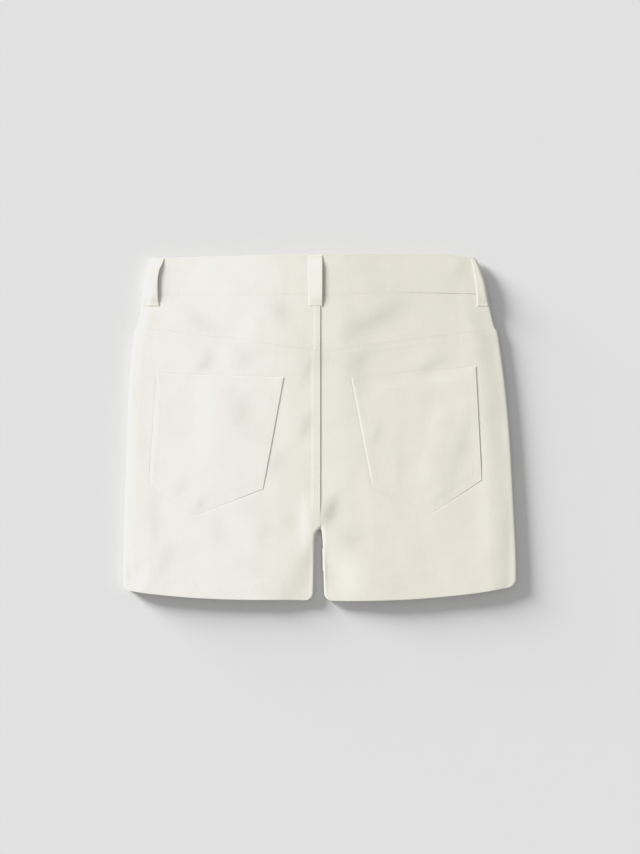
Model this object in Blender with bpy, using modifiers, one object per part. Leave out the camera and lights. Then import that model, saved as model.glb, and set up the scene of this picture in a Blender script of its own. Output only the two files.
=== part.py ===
"""Child's twill shorts in jeans cut, laid flat with the back uppermost.

Metres, +Z up. Seen from above, X runs to the right and Y towards the waistband. The origin is the
middle of the footprint, on the surface that the shorts lie on.

Every cloth piece starts as a grid, which is placed on the piece's outer face and then thickened
inwards. The face is a height above the surface, worked out from the cut: a plain level, soft welts
along the side seams, a lift where the waist button lies underneath, folds, and the raised edges of
the felled seams. Where the cloth turns over a leg's edge, front and back panels meet half-way up.
"""

from collections import namedtuple

import bmesh
import bpy
import numpy as np
from mathutils import Vector

MM = 0.001

# Cloth and seams
CLOTH = 1.2 * MM  # body panels
BAND_CLOTH = 1.8 * MM  # the doubled waistband
POCKET_CLOTH = 1.0 * MM
LOOP_CLOTH = 1.2 * MM
GAP = 0.3 * MM  # between pieces at a seam, and between layers
BAND_GAP = 0.4 * MM  # under the waistband, whose thicker wall turns more at its folded edges
FOLD_RADIUS = 3.0 * MM  # how far in from a folded edge the cloth has turned flat
FOLD_LIP = 0.3 * MM  # the upright strip that each panel has along a folded edge

# Cut
HEM_CORNER = 7.0 * MM  # the radius of the corners of both hems
CORNER_FADES = (3.0 * MM, 13.0 * MM)  # how far in from a folded edge the cloth follows its corner
CROTCH = (0.3 * MM, -93.8 * MM)
CROTCH_OPENS = 0.5 * MM  # how much further apart front and back are just there
FRONT_DIP = 12.0 * MM  # how much lower the front waist is than the back one, at the centre
WAIST_HALVES = (156.0 * MM, 147.0 * MM)  # from the centre front to the left and the right fold
BAND_PROUD = 0.5 * MM  # the waistband's outer face, over that of the panels
WAIST_RISE = 2.0 * MM  # how far the front panels rise to meet the waistband
WAIST_RISE_LENGTH = 45.0 * MM

# Front opening, the left front over the right one
LAP_EDGE = 6.0 * MM  # where the waistband's upper end stops, past the centre front
UNDERLAP_EDGE = -32.0 * MM
FLY_EDGE = 3.0 * MM
FLY_UNDER = 14.0 * MM  # how far the right front goes in under the left one
FLY_END = 16.0 * MM  # the fly's lower end, above the footprint's middle
FLY_CURVE = 9.0 * MM  # the height over which its edges swing in to the centre seam there
LAP_LEVEL = CLOTH + GAP  # of the right front, over the left one
LAP_SLOPE = (5.0 * MM, 15.0 * MM)  # where it comes down again, beside the left one's edge
LAP_START = (2.0 * MM, 14.0 * MM)  # where it has risen and where it starts to rise, under the fly

# Button
BUTTON_RADIUS = 7.5 * MM
BUTTON_HEIGHT = 2.4 * MM
BUTTON_X = -8.0 * MM
BUTTON_UP = 17.0 * MM  # over the waistband's lower seam
BUTTON_LIFT = 1.2 * MM  # how far the button raises the front waistband
STACK_LIFT = 3.0 * MM  # how far button and underlap together raise the back
LIFT_FLAT = 26.0 * MM  # half the width over which the lift is whole
LIFT_END = 72.0 * MM  # and half the width over which it shows at all
LIFT_REACH = (62.0 * MM, 118.0 * MM)  # it grows from nothing to the whole over this height
FLY_LIFT = 1.0 * MM  # how far the lapped fly raises the back
FLY_LIFT_FLAT = 16.0 * MM
FLY_LIFT_END = 42.0 * MM
FLY_LIFT_GROWS = 26.0 * MM  # over this height under the fly's end

# Belt loops
LOOP_WIDTH = 13.0 * MM
LOOP_STAND_OFF = 1.4 * MM  # in the middle of its length
LOOP_END = 110.4 * MM
LOOP_TOPS = {"center": 158.6 * MM, "left": 155.8 * MM, "right": 155.4 * MM}
CENTER_LOOP_X = -3.8 * MM
LOOP_TURNS = {"left": np.radians(60), "right": np.radians(25)}  # 0 is upright, round the folded edge
FRONT_LOOPS = {"left": -78.0 * MM, "right": 72.0 * MM}  # their middles
FRONT_LOOP_TOP = 2.0 * MM  # under the waist's edge
FRONT_LOOP_END = 11.0 * MM  # under the waistband's seam

Row = namedtuple("Row", "share offset", defaults=(0.0,))
Column = namedtuple("Column", "share offset seam_offset rise")
BandColumn = namedtuple("BandColumn", "share offset turn lap")
FLAT = np.pi / 2  # a waistband column's turn on the back; 0 is the folded edge and -FLAT the front
PASSES = 8  # to find where a row and a column cross


def table(names, *rows):
    """Named columns of millimetres, turned into metres."""
    Table = namedtuple("Table", names)
    return Table(*(np.array(column) * MM for column in zip(*rows)))


# The outer edges of both sides, from the hem up to the waist
SIDES = table(
    "y left right",
    (-160, -181.0, 181.0),
    (-122, -180.2, 180.4),
    (-76, -178.9, 178.2),
    (-40, -177.9, 176.2),
    (-3, -176.5, 173.9),
    (34, -175.2, 170.4),
    (57, -173.3, 167.6),
    (75, -171.5, 165.0),
    (88, -170.0, 162.6),
    (92, -167.8, 160.3),
    (108, -164.3, 156.3),
    (122, -161.6, 153.0),
    (132, -159.4, 151.0),
    (144, -156.8, 147.2),
    (152, -155.2, 144.2),
    (160, -153.4, 139.0),
)

# The inner edges of both legs, from the hem up to the crotch
INSEAMS = table(
    "y left right",
    (-160, -6.2, 4.4),
    (-145, -5.8, 3.6),
    (-122, -5.3, 3.1),
    (-108, -4.9, 2.7),
    (-99, -3.9, 2.1),
    (-95.2, -2.0, 1.3),
    (-93.8, 0.15, 0.45),
)

HEM = table(
    "x y",
    (-181, -149.6),
    (-157, -153.2),
    (-134, -155.5),
    (-111, -157.3),
    (-74, -158.7),
    (-19, -159.2),
    (27, -160.1),
    (73, -158.9),
    (119, -155.5),
    (156, -150.9),
    (181, -146.0),
)

YOKE_SEAM = table(
    "x y",
    (-170, 90.4),
    (-148, 89.2),
    (-104, 83.7),
    (-72, 81.4),
    (-54, 77.7),
    (-3, 70.4),
    (3, 70.0),
    (35, 74.5),
    (98, 82.5),
    (162, 90.2),
)

BAND_SEAM = table("x y", (-165, 121.6), (-80, 121.0), (0, 121.4), (84, 123.2), (155, 121.9))

WAIST_EDGE = table(
    "x y",
    (-156, 156.0),
    (-110, 157.3),
    (-65, 158.2),
    (0, 159.2),
    (50, 160.1),
    (110, 159.8),
    (145, 156.0),
)

# The inner edges of the side loops
LOOP_EDGES = table(
    "y left right",
    (110, -147.0, 144.3),
    (120, -148.4, 144.1),
    (132, -148.7, 143.2),
    (144, -147.0, 141.3),
    (150, -144.3, 139.8),
    (157, -141.9, 137.0),
)

# Height of the back's outer face: plain, along the side welts, and along the inner leg edges
LEVELS = table(
    "y plain side inner",
    (-160, 3.4, 4.9, 4.7),
    (-120, 3.5, 5.0, 4.8),
    (-60, 3.7, 5.2, 5.2),
    (0, 3.9, 5.3, 4.4),
    (50, 4.1, 5.3, 4.4),
    (90, 4.5, 5.3, 4.5),
    (122, 5.3, 5.6, 5.3),
    (160, 5.3, 5.6, 5.3),
)
SIDE_WELT = (7.0 * MM, 27.0 * MM)  # its crest's inner side and its foot, from the edge
INNER_WELT = (4.0 * MM, 22.0 * MM)

# Half-way heights of the folded edges
FOLD_LEVELS = table(
    "y side inner",
    (-160, 2.5, 2.4),
    (-60, 2.6, 2.4),
    (70, 2.6, 2.4),
    (122, 3.6, 2.4),
    (160, 3.6, 2.4),
)

# The largest folds of the back, from one end to the other
FOLDS = table(
    "from_x from_y to_x to_y half_width height",
    (-138, 116, -80, 78, 20, 0.9),
    (-76, 114, -28, 86, 18, 0.7),
    (12, 84, 92, 114, 18, 0.8),
    (-129, 34, -98, -48, 24, 0.9),
    (-82, 36, -52, -12, 26, -0.5),
    (46, 0, 104, 42, 22, 0.8),
    (112, 6, 123, -50, 22, 0.8),
    (8, -74, 44, -118, 17, 0.9),
    (-9, -82, -33, -112, 17, 0.8),
    (-33, -112, -66, -132, 18, 0.8),
)
FOLDS_END = (117.0 * MM, 129.0 * MM)  # they die out in the waistband
FOLDS_FROM_SIDES = (6.0 * MM, 18.0 * MM)  # and towards the folded edges
FOLDS_FROM_FORK = (2.0 * MM, 14.0 * MM)

# The crotch's dip, on the centre line over the fork
DIP_LENGTH = 16.0 * MM
DIP_WIDTH = 9.0 * MM
DIP_DEPTH = 0.5 * MM

# Raised strips of the felled seams
FELL_HEIGHT = 0.9 * MM
FELL_WIDTH_BODY = 7.0 * MM
FELL_WIDTH_YOKE = 3.6 * MM
FELL_SLOPE = 1.6 * MM
FELL_END = (-82.0 * MM, -70.0 * MM)
YOKE_FELL_HEIGHT = 0.7 * MM
YOKE_FELL_WIDTH = 8.0 * MM

# Patch pocket corners, from the inner top corner round by way of the point
POCKETS = {
    "left": ((-33.0, 45.5), (-149.9, 49.0), (-157.2, -54.3), (-113.5, -81.0), (-52.1, -57.0)),
    "right": ((28.6, 45.1), (143.2, 55.2), (148.7, -48.8), (103.6, -79.1), (47.9, -56.1)),
}
POCKET_SNAP = 0.01 * MM

# Waistband
BAND_TURN = 2.7 * MM  # how far in from its folded edge it has turned flat
BAND_STEPS = 26  # across the back
BAND_MIDDLE = 139.0 * MM  # its mid-height
BAND_UPPER = (-3, -14, -30, -52, -80, -110, -140)  # columns of the front, from the lap's edge on, mm
BAND_LOWER = (130, 100, 72, 48, 32)
BAND_UNDERLAP = (16, 4, -8, -20)
BAND_FOLD_TURNS = tuple(np.radians((55.0, 25.0, 0.0)))

# The button's half section, from the middle of its back to the middle of its face
BUTTON_PROFILE = (
    (0.0, 1.0),
    (0.80, 1.0),
    (0.94, 0.85),
    (1.0, 0.55),
    (0.94, 0.2),
    (0.82, 0.0),
    (0.62, 0.0),
    (0.55, 0.15),
    (0.0, 0.15),
)
BUTTON_STEPS = 24
MERGE = 0.01 * MM


def along(places, values, at):
    """A smooth curve through stations that never overshoots them."""
    steps = np.diff(places)
    slopes = np.diff(values) / steps
    both = slopes[:-1] * slopes[1:]
    total = slopes[:-1] + slopes[1:]
    inner = np.where(both > 0, 2 * both / np.where(both > 0, total, 1.0), 0.0)
    tangents = np.concatenate([slopes[:1], inner, slopes[-1:]])
    at = np.clip(at, places[0], places[-1])
    i = np.clip(np.searchsorted(places, at) - 1, 0, len(steps) - 1)
    t = (at - places[i]) / steps[i]
    start = (1 + 2 * t) * (1 - t) ** 2 * values[i] + t * (1 - t) ** 2 * steps[i] * tangents[i]
    end = t * t * (3 - 2 * t) * values[i + 1] + t * t * (t - 1) * steps[i] * tangents[i + 1]
    return start + end


def ease(value, start, end):
    """0 at start, 1 at end, and level at both."""
    t = np.clip((value - start) / (end - start), 0.0, 1.0)
    return t * t * (3 - 2 * t)


def side_edge(side, y):
    return along(SIDES.y, getattr(SIDES, side), y)


def hem(x):
    return along(HEM.x, HEM.y, x)


def yoke_seam(x):
    return along(YOKE_SEAM.x, YOKE_SEAM.y, x)


def band_seam(x):
    return along(BAND_SEAM.x, BAND_SEAM.y, x)


def waist_edge(x):
    return along(WAIST_EDGE.x, WAIST_EDGE.y, x)


def front_dip(x):
    """How far the front waist lies below the back one."""
    half = np.where(x < 0, WAIST_HALVES[0], WAIST_HALVES[1])
    return FRONT_DIP * np.clip(1 - (x / half) ** 2, 0.0, 1.0)


def toward_middle(side):
    return 1.0 if side == "left" else -1.0


def inner_edge(side, y):
    """The centre seam, and below the crotch the inner edge of a leg."""
    seam = CROTCH[0] - toward_middle(side) * GAP / 2
    return np.where(y < CROTCH[1], along(INSEAMS.y, getattr(INSEAMS, side), y), seam)


def hem_corner(x, y):
    """How far a leg's folded edges draw in where its hem's corners are rounded."""
    short = HEM_CORNER - np.clip(y - hem(x), 0.0, HEM_CORNER)
    return HEM_CORNER - np.sqrt(HEM_CORNER**2 - short**2)


def from_sides(x, y):
    """The distance in from the nearer outer edge."""
    across = np.minimum(x - side_edge("left", y), side_edge("right", y) - x)
    return across - hem_corner(x, y)


def from_fork(x, y):
    """The distance from the nearer inner leg edge, or above it from the crotch."""
    left = along(INSEAMS.y, INSEAMS.left, y)
    right = along(INSEAMS.y, INSEAMS.right, y)
    beside = np.where(x < CROTCH[0], left - x, x - right) - hem_corner(x, y)
    return np.where(y < CROTCH[1], beside, np.hypot(x - CROTCH[0], y - CROTCH[1]))


def lift(x, y, amount):
    """How far the button and the lapped ends under it raise what lies over them."""
    across = 1 - ease(np.abs(x - BUTTON_X), LIFT_FLAT, LIFT_END)
    return amount * across * ease(y, *LIFT_REACH)


def fly_lift(x, y):
    """How far the lapped fly raises the back over it."""
    across = 1 - ease(np.abs(x + FLY_UNDER / 2), FLY_LIFT_FLAT, FLY_LIFT_END)
    return FLY_LIFT * across * ease(y, FLY_END - FLY_LIFT_GROWS, FLY_END)


def folds(x, y):
    """The height that the large folds add: soft ridges, or troughs where it is negative."""
    height = np.zeros_like(x)
    for from_x, from_y, to_x, to_y, half_width, rise in zip(*FOLDS):
        run_x, run_y = to_x - from_x, to_y - from_y
        share = ((x - from_x) * run_x + (y - from_y) * run_y) / (run_x**2 + run_y**2)
        share = np.clip(share, 0.0, 1.0)
        away = np.hypot(x - from_x - share * run_x, y - from_y - share * run_y)
        height = height + rise * (1 - ease(away, 0.0, half_width))
    fading = ease(from_sides(x, y), *FOLDS_FROM_SIDES) * ease(from_fork(x, y), *FOLDS_FROM_FORK)
    return height * fading * (1 - ease(y, *FOLDS_END))


def back_face(x, y):
    """The height of the back's outer face, before its folded edges and seam strips."""
    plain = along(LEVELS.y, LEVELS.plain, y)
    side = 1 - ease(from_sides(x, y), *SIDE_WELT)
    inner = 1 - ease(from_fork(x, y), *INNER_WELT)
    height = plain + side * (along(LEVELS.y, LEVELS.side, y) - plain)
    height = height + inner * (along(LEVELS.y, LEVELS.inner, y) - plain)
    dip = 1 - ease(y, CROTCH[1], CROTCH[1] + DIP_LENGTH)
    dip = DIP_DEPTH * dip * np.exp(-(((x - CROTCH[0]) / DIP_WIDTH) ** 2))
    raised = lift(x, y, STACK_LIFT) + fly_lift(x, y) * (1 - ease(y, *LIFT_REACH))
    return height + folds(x, y) + raised - dip


def front_face(x, y):
    """The height of the front's outer face, which lies on the surface up to near the waist."""
    start = band_seam(x) - front_dip(x) - WAIST_RISE_LENGTH
    return WAIST_RISE * ease(y, start, start + WAIST_RISE_LENGTH) + lift(x, y, BUTTON_LIFT)


def fell_strip(x, y):
    """The centre seam's raised strip, on its left side."""
    width = np.where(y > yoke_seam(x), FELL_WIDTH_YOKE, FELL_WIDTH_BODY)
    inward = CROTCH[0] - x
    across = 1 - ease(inward, width - FELL_SLOPE / 2, width + FELL_SLOPE / 2)
    return FELL_HEIGHT * across * ease(y, *FELL_END) * (inward > 0)


def yoke_strip(x, y):
    """The yoke seam's raised strip, along the top of the lower panel."""
    below = yoke_seam(x) - y - YOKE_FELL_WIDTH
    return YOKE_FELL_HEIGHT * (1 - ease(below, -FELL_SLOPE, FELL_SLOPE))


def turned(face, fold, x, y, rise, up):
    """The height of an outer face that turns over into the folded edges beside it."""
    side = np.clip(from_sides(x, y) / FOLD_RADIUS, 0.0, 1.0)
    fork = np.clip(from_fork(x, y) / FOLD_RADIUS, 0.0, 1.0)
    share = np.sqrt(1 - (1 - side) ** 2) * np.sqrt(1 - (1 - fork) ** 2)
    from_crotch = np.hypot(x - CROTCH[0], y - CROTCH[1])
    rise = rise + CROTCH_OPENS * (1 - ease(from_crotch, 0.0, 2 * FOLD_RADIUS))
    return np.where(share < 1, fold + up * np.maximum(rise, up * (face - fold) * share), face)


def fold_level(x, y):
    """The half-way height of the folded edge that is nearer."""
    side = along(FOLD_LEVELS.y, FOLD_LEVELS.side, y)
    inner = along(FOLD_LEVELS.y, FOLD_LEVELS.inner, y)
    return np.where(from_sides(x, y) < from_fork(x, y), side, inner)


def material(name, colour, roughness, metallic=0.0):
    made = bpy.data.materials.new(name)
    made.use_nodes = True
    shader = made.node_tree.nodes["Principled BSDF"]
    shader.inputs["Base Color"].default_value = (*colour, 1.0)
    shader.inputs["Roughness"].default_value = roughness
    shader.inputs["Metallic"].default_value = metallic
    return made


def add(name, bm, collection, finish):
    mesh = bpy.data.meshes.new(name)
    bm.to_mesh(mesh)
    bm.free()
    mesh.materials.append(finish)
    piece = bpy.data.objects.new(name, mesh)
    collection.objects.link(piece)
    return piece


def thicken(piece, wall, outwards=False):
    made = piece.modifiers.new("Wall", "SOLIDIFY")
    made.thickness = wall
    made.offset = 1.0 if outwards else -1.0
    made.use_even_offset = True
    made.use_quality_normals = True


def at_points(stops, index):
    """The named values of these stops at each point of a grid."""
    return type(stops[0])(*(np.array(values)[index] for values in zip(*stops)))


def grid(columns, rows, place):
    """A grid whose points place() moves to their spots, from each point's column and row."""
    across, up = len(columns) - 1, len(rows) - 1
    bm = bmesh.new()
    bmesh.ops.create_grid(bm, x_segments=across, y_segments=up, size=0.5)
    flat = np.array([vertex.co for vertex in bm.verts]) + 0.5
    column = at_points(columns, np.rint(flat[:, 0] * across).astype(int))
    row = at_points(rows, np.rint(flat[:, 1] * up).astype(int))
    for vertex, spot in zip(bm.verts, np.stack(place(column, row), axis=1)):
        vertex.co = spot
    return bm


def evenly(count):
    return [Row(step / count) for step in range(count + 1)]


def stations(distances, share=0.0):
    """Columns at these distances from an edge: pairs for a folded edge and for a plain seam."""
    made = []
    for at_fold, at_seam in distances:
        rise = GAP / 2 if not made else GAP / 2 + FOLD_LIP
        made.append(Column(share, at_fold * MM, at_seam * MM, rise))
    return made


# Distances of the columns from a folded edge, round the turn and over the welt
TURN = (0.0, 0.0, 0.54, 1.6, 3.0)
BODY_STOPS = (
    *(-140, -128, -117, -107, -100, -96, -93.8, -92.2, -90.5, -85, -78),
    *range(-68, 53, 12),
)
FRONT_STOPS = (
    *(-140, -120, -105, -98, -95.5, -93.8, -92.2, -90.5, -80, -55, -30, 0),
    *(8, 14, 17, 19.5, 22, 25, 45, 64, 78, 88, 98),
)
HEM_ROWS = (0.0, 1.0, 3.5, 7.0)
YOKE_SEAM_ROWS = (8.8, 7.2, 0.0)
SIDE_COLUMNS = stations([(d, d) for d in (*TURN, 7.0, 13.0, 20.0, 27.0)])
# and from the centre line: in the leg, where the edge is folded, and over the crotch, at the seam
BODY_SEAM_COLUMNS = stations(zip((*TURN, 5.5, 9.5), (0.0, 1.6, 3.2, 4.8, 6.0, 8.2, 11.0)), 1.0)
YOKE_SEAM_COLUMNS = stations(zip((0.0, 3.0, 4.6, 9.5), (0.0, 2.8, 4.6, 9.5)), 1.0)
FRONT_SIDE_COLUMNS = stations([(d, d) for d in (*TURN, 12.0, 34.0)])
FRONT_SEAM_COLUMNS = stations(
    zip((*TURN, 8.0, 16.0, 30.0), (0.0, 6.0, 11.0, 14.0, 17.0, 20.5, 25.0, 34.0)), 1.0
)


def across_half(outer, inner, between):
    """Columns from the outer edge to the centre line, with evenly spaced ones between the two sets."""
    start, end = outer[-1].offset, inner[-1].offset
    made = list(outer)
    for step in range(1, between + 1):
        share = step / (between + 1)
        offset = start * (1 - share) - end * share
        made.append(Column(share, offset, offset, GAP / 2 + FOLD_LIP))
    for column in reversed(inner):
        made.append(column._replace(offset=-column.offset, seam_offset=-column.seam_offset))
    return made


def upwards(low, high, stops, low_offsets=(), high_offsets=()):
    """Rows at these heights on the centre line, with some at fixed distances from either end."""
    bottom, top = float(low(np.float64(0))), float(high(np.float64(0)))
    made = [Row(0.0, offset * MM) for offset in low_offsets]
    made += [Row((stop * MM - bottom) / (top - bottom), 0.0) for stop in stops]
    return made + [Row(1.0, -offset * MM) for offset in high_offsets]


def spread(side, column, row, low, high, inner=inner_edge):
    """Where the columns and rows of a half cross, seen from above."""
    toward = toward_middle(side)
    x = np.zeros_like(column.share)
    y = low(x) + (high(x) - low(x)) * row.share
    for _ in range(PASSES):
        leg = 1 - ease(y, CROTCH[1], CROTCH[1] + FOLD_RADIUS)
        offset = column.seam_offset + (column.offset - column.seam_offset) * leg
        corner = (1 - 2 * column.share) * hem_corner(x, y) * (1 - ease(np.abs(offset), *CORNER_FADES))
        x = side_edge(side, y) * (1 - column.share) + inner(side, y) * column.share
        x = x + toward * (offset + corner)
        y = low(x) * (1 - row.share) + high(x) * row.share + row.offset
    return x, y


def under_band(x):
    return band_seam(x) - BAND_GAP


def back_panel(side):
    def place(column, row):
        x, y = spread(side, column, row, hem, lambda x: yoke_seam(x) - GAP / 2)
        face = back_face(x, y) + yoke_strip(x, y)
        if side == "left":
            face = face + fell_strip(x, y)
        return x, y, turned(face, fold_level(x, y), x, y, column.rise, 1.0)

    return place


def yoke(side):
    def place(column, row):
        x, y = spread(side, column, row, lambda x: yoke_seam(x) + GAP / 2, under_band)
        face = back_face(x, y)
        if side == "left":
            face = face + fell_strip(x, y)
        return x, y, turned(face, fold_level(x, y), x, y, column.rise, 1.0)

    return place


def front_seam(x):
    """The waistband's lower seam on the front."""
    return band_seam(x) - front_dip(x)


def front_inner_edge(side, y):
    """The front panels' inner edge: the right one goes in under the left one at the fly."""
    seam = inner_edge(side, y)
    target = FLY_EDGE if side == "left" else -FLY_UNDER
    return seam + (target - seam) * ease(y, FLY_END, FLY_END + FLY_CURVE)


def front_panel(side):
    def place(column, row):
        x, y = spread(side, column, row, hem, lambda x: front_seam(x) - BAND_GAP, front_inner_edge)
        face = front_face(x, y)
        if side == "right":
            over = LAP_LEVEL * (1 - ease(x, *LAP_SLOPE))
            face = face + over * (1 - ease(FLY_END - y, *LAP_START))
        return x, y, turned(face, fold_level(x, y), x, y, column.rise, -1.0)

    return place


def at_front(x, lap=0.0):
    """A column of the front waistband, at a place across the garment that is given at mid-height."""
    left, right = (side_edge(side, BAND_MIDDLE) for side in ("left", "right"))
    return BandColumn((x - left) / (right - left), 0.0, -FLAT, lap)


def band_columns():
    """Once round the waist: from the lap's edge by way of the left fold, the back and the right fold."""
    upper = [at_front(x) for x in (LAP_EDGE, *(place * MM for place in BAND_UPPER))]
    turns = [-FLAT, *(-turn for turn in BAND_FOLD_TURNS), *BAND_FOLD_TURNS[1::-1], FLAT]
    left = [BandColumn(0.0, BAND_TURN * (1 - np.cos(turn)), turn, 0.0) for turn in turns]
    back = [BandColumn(step / BAND_STEPS, 0.0, FLAT, 0.0) for step in range(1, BAND_STEPS)]
    right = [BandColumn(1.0, -column.offset, -column.turn, 0.0) for column in left]
    under = [at_front(place * MM) for place in BAND_LOWER]
    under += [at_front(x, lap=1.0) for x in (*(place * MM for place in BAND_UNDERLAP), UNDERLAP_EDGE)]
    return upper + left + back + right + under


def waistband(column, row):
    x = np.zeros_like(column.share)
    front = np.clip(-column.turn / FLAT, 0.0, 1.0)
    for _ in range(PASSES):
        dip = front_dip(x) * front
        y = band_seam(x) * (1 - row.share) + waist_edge(x) * row.share - dip
        x = side_edge("left", y) * (1 - column.share) + side_edge("right", y) * column.share
        x = x + column.offset
    fold = along(FOLD_LEVELS.y, FOLD_LEVELS.side, y)
    over = back_face(x, y) + BAND_PROUD
    under = WAIST_RISE + lift(x, y + dip, BUTTON_LIFT) - BAND_PROUD + column.lap * (BAND_CLOTH + GAP)
    turn = np.sin(column.turn)
    return x, y, fold + np.where(turn > 0, (over - fold) * turn, (fold - under) * turn)


def worn_face(x, y):
    """The height of what a belt loop on the back lies over."""
    body = back_face(x, y) + fell_strip(x, y)
    return np.where(y > band_seam(x), back_face(x, y) + BAND_PROUD, body)


def loop_height(row):
    """How far a loop's outer face stands over what it lies on: it is sewn down at both ends."""
    return GAP + LOOP_CLOTH + LOOP_STAND_OFF * np.sin(np.pi * row.share)


def center_loop(column, row):
    y = LOOP_END + (LOOP_TOPS["center"] - LOOP_END) * row.share
    under = [worn_face(CENTER_LOOP_X + LOOP_WIDTH * share, y) for share in (-0.5, -0.2, 0.0, 0.3, 0.5)]
    x = CENTER_LOOP_X + LOOP_WIDTH * (column.share - 0.5)
    return x, y, np.max(under, axis=0) + loop_height(row)


def side_loop(side):
    def place(column, row):
        """The loop lies over the waistband and turns over its folded edge."""
        y = LOOP_END + (LOOP_TOPS[side] - LOOP_END) * row.share
        toward = toward_middle(side)
        edge = side_edge(side, y)
        reach = toward * (along(LOOP_EDGES.y, getattr(LOOP_EDGES, side), y) - edge)
        flat = reach + (FOLD_RADIUS - reach) * np.clip(2 * column.share, 0.0, 1.0)
        turn = FLAT + (LOOP_TURNS[side] - FLAT) * np.clip(2 * column.share - 1, 0.0, 1.0)
        away = loop_height(row)
        inward = flat - (FOLD_RADIUS + away) * np.cos(turn)
        fold = along(FOLD_LEVELS.y, FOLD_LEVELS.side, y)
        face = worn_face(edge + toward * flat, y)
        return edge + toward * inward, y, fold + (face - fold + away) * np.sin(turn)

    return place


def front_loop(side):
    def place(column, row):
        """The loop lies flat on the surface, under the waistband."""
        x = FRONT_LOOPS[side] + LOOP_WIDTH * (column.share - 0.5)
        end = front_seam(x) - FRONT_LOOP_END
        top = waist_edge(x) - front_dip(x) - FRONT_LOOP_TOP
        return x, end + (top - end) * row.share, np.zeros_like(x)

    return place


def pocket(side, collection, finish):
    """The back panel's outer face inside the pocket's outline, moved out and thickened."""
    bm = bmesh.new()
    bm.from_mesh(bpy.data.objects[f"back_{side}"].data)
    corners = [Vector((x * MM, y * MM, 0.0)) for x, y in POCKETS[side]]
    middle = sum(corners, Vector()) / len(corners)
    for here, there in zip(corners, corners[1:] + corners[:1]):
        across = (there - here).cross(Vector((0, 0, 1)))
        if across.dot(middle - here) > 0:
            across.negate()
        everything = bm.verts[:] + bm.edges[:] + bm.faces[:]
        cut = {"plane_co": here, "plane_no": across, "clear_outer": True, "dist": POCKET_SNAP}
        bmesh.ops.bisect_plane(bm, geom=everything, **cut)
    bmesh.ops.translate(bm, verts=bm.verts, vec=(0, 0, GAP))
    piece = add(f"back_pocket_{side}", bm, collection, finish)
    thicken(piece, POCKET_CLOTH, outwards=True)


def button(collection, finish):
    """A turned waist button under the lapped ends, its face on the surface."""
    bm = bmesh.new()
    points = [bm.verts.new((out * BUTTON_RADIUS, 0.0, up * BUTTON_HEIGHT)) for out, up in BUTTON_PROFILE]
    for here, there in zip(points, points[1:]):
        bm.edges.new((here, there))
    piece = add("button", bm, collection, finish)
    piece.location = (BUTTON_X, float(front_seam(np.float64(BUTTON_X))) + BUTTON_UP, 0.0)
    turning = piece.modifiers.new("Turning", "SCREW")
    turning.steps = BUTTON_STEPS
    turning.render_steps = BUTTON_STEPS
    turning.use_merge_vertices = True
    turning.merge_threshold = MERGE
    turning.use_normal_calculate = True


def cloth(name, columns, rows, place, wall, collection, finish):
    thicken(add(name, grid(columns, rows, place), collection, finish), wall)


def main():
    for thing in list(bpy.data.objects):
        bpy.data.objects.remove(thing, do_unlink=True)
    shorts = bpy.data.collections.new("twill_shorts")
    bpy.context.scene.collection.children.link(shorts)
    twill = material("ivory_twill", (0.86, 0.83, 0.74), 0.85)
    brass = material("button_metal", (0.62, 0.60, 0.56), 0.35, metallic=1.0)

    body_rows = upwards(hem, yoke_seam, BODY_STOPS, HEM_ROWS, YOKE_SEAM_ROWS)
    front_rows = upwards(hem, front_seam, FRONT_STOPS, HEM_ROWS, (0.0,))
    for side in ("left", "right"):
        order = 1 if side == "left" else -1
        columns = across_half(SIDE_COLUMNS, BODY_SEAM_COLUMNS, 11)[::order]
        cloth(f"back_{side}", columns, body_rows, back_panel(side), CLOTH, shorts, twill)
        columns = across_half(SIDE_COLUMNS, YOKE_SEAM_COLUMNS, 11)[::order]
        cloth(f"yoke_{side}", columns, evenly(4), yoke(side), CLOTH, shorts, twill)
        columns = across_half(FRONT_SIDE_COLUMNS, FRONT_SEAM_COLUMNS, 6)[::-order]
        cloth(f"front_{side}", columns, front_rows, front_panel(side), CLOTH, shorts, twill)
        pocket(side, shorts, twill)
        columns = evenly(6)[::-order]
        cloth(f"loop_back_{side}", columns, evenly(8), side_loop(side), LOOP_CLOTH, shorts, twill)
        columns = evenly(2)[::-1]
        cloth(f"loop_front_{side}", columns, evenly(1), front_loop(side), LOOP_CLOTH, shorts, twill)
    cloth("loop_back_center", evenly(2), evenly(8), center_loop, LOOP_CLOTH, shorts, twill)
    cloth("waistband", band_columns(), evenly(3), waistband, BAND_CLOTH, shorts, twill)
    button(shorts, brass)


main()
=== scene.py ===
"""Looks of the child's twill shorts: fine cloth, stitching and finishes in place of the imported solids.

Metres, +Z up, in the frame of the solids: seen from above, X runs to the right and Y towards the
waistband, and the shorts lie on their front. Each cloth piece is a fine grid on the piece's outer
face, thickened inwards. The face is the one of its solid, with the folds of worn cloth, the slack of
washed cloth, rounded edges, and the furrows and gathers that its stitch rows draw in it.
"""

from collections import namedtuple

import bmesh
import bpy
import numpy as np
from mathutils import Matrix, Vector


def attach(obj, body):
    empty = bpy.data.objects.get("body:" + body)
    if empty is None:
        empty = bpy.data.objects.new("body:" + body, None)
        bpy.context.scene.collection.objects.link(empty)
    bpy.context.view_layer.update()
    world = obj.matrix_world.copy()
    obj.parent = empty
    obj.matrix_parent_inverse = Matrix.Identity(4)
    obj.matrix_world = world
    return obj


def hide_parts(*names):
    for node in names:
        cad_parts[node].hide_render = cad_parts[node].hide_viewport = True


MM = 0.001

# View: straight down on the middle of the footprint
PICTURE_WIDTH_PX = 640
PIXEL = 0.92 * MM
CAMERA_HEIGHT = 2.4
SENSOR_WIDTH = 36.0

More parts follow.
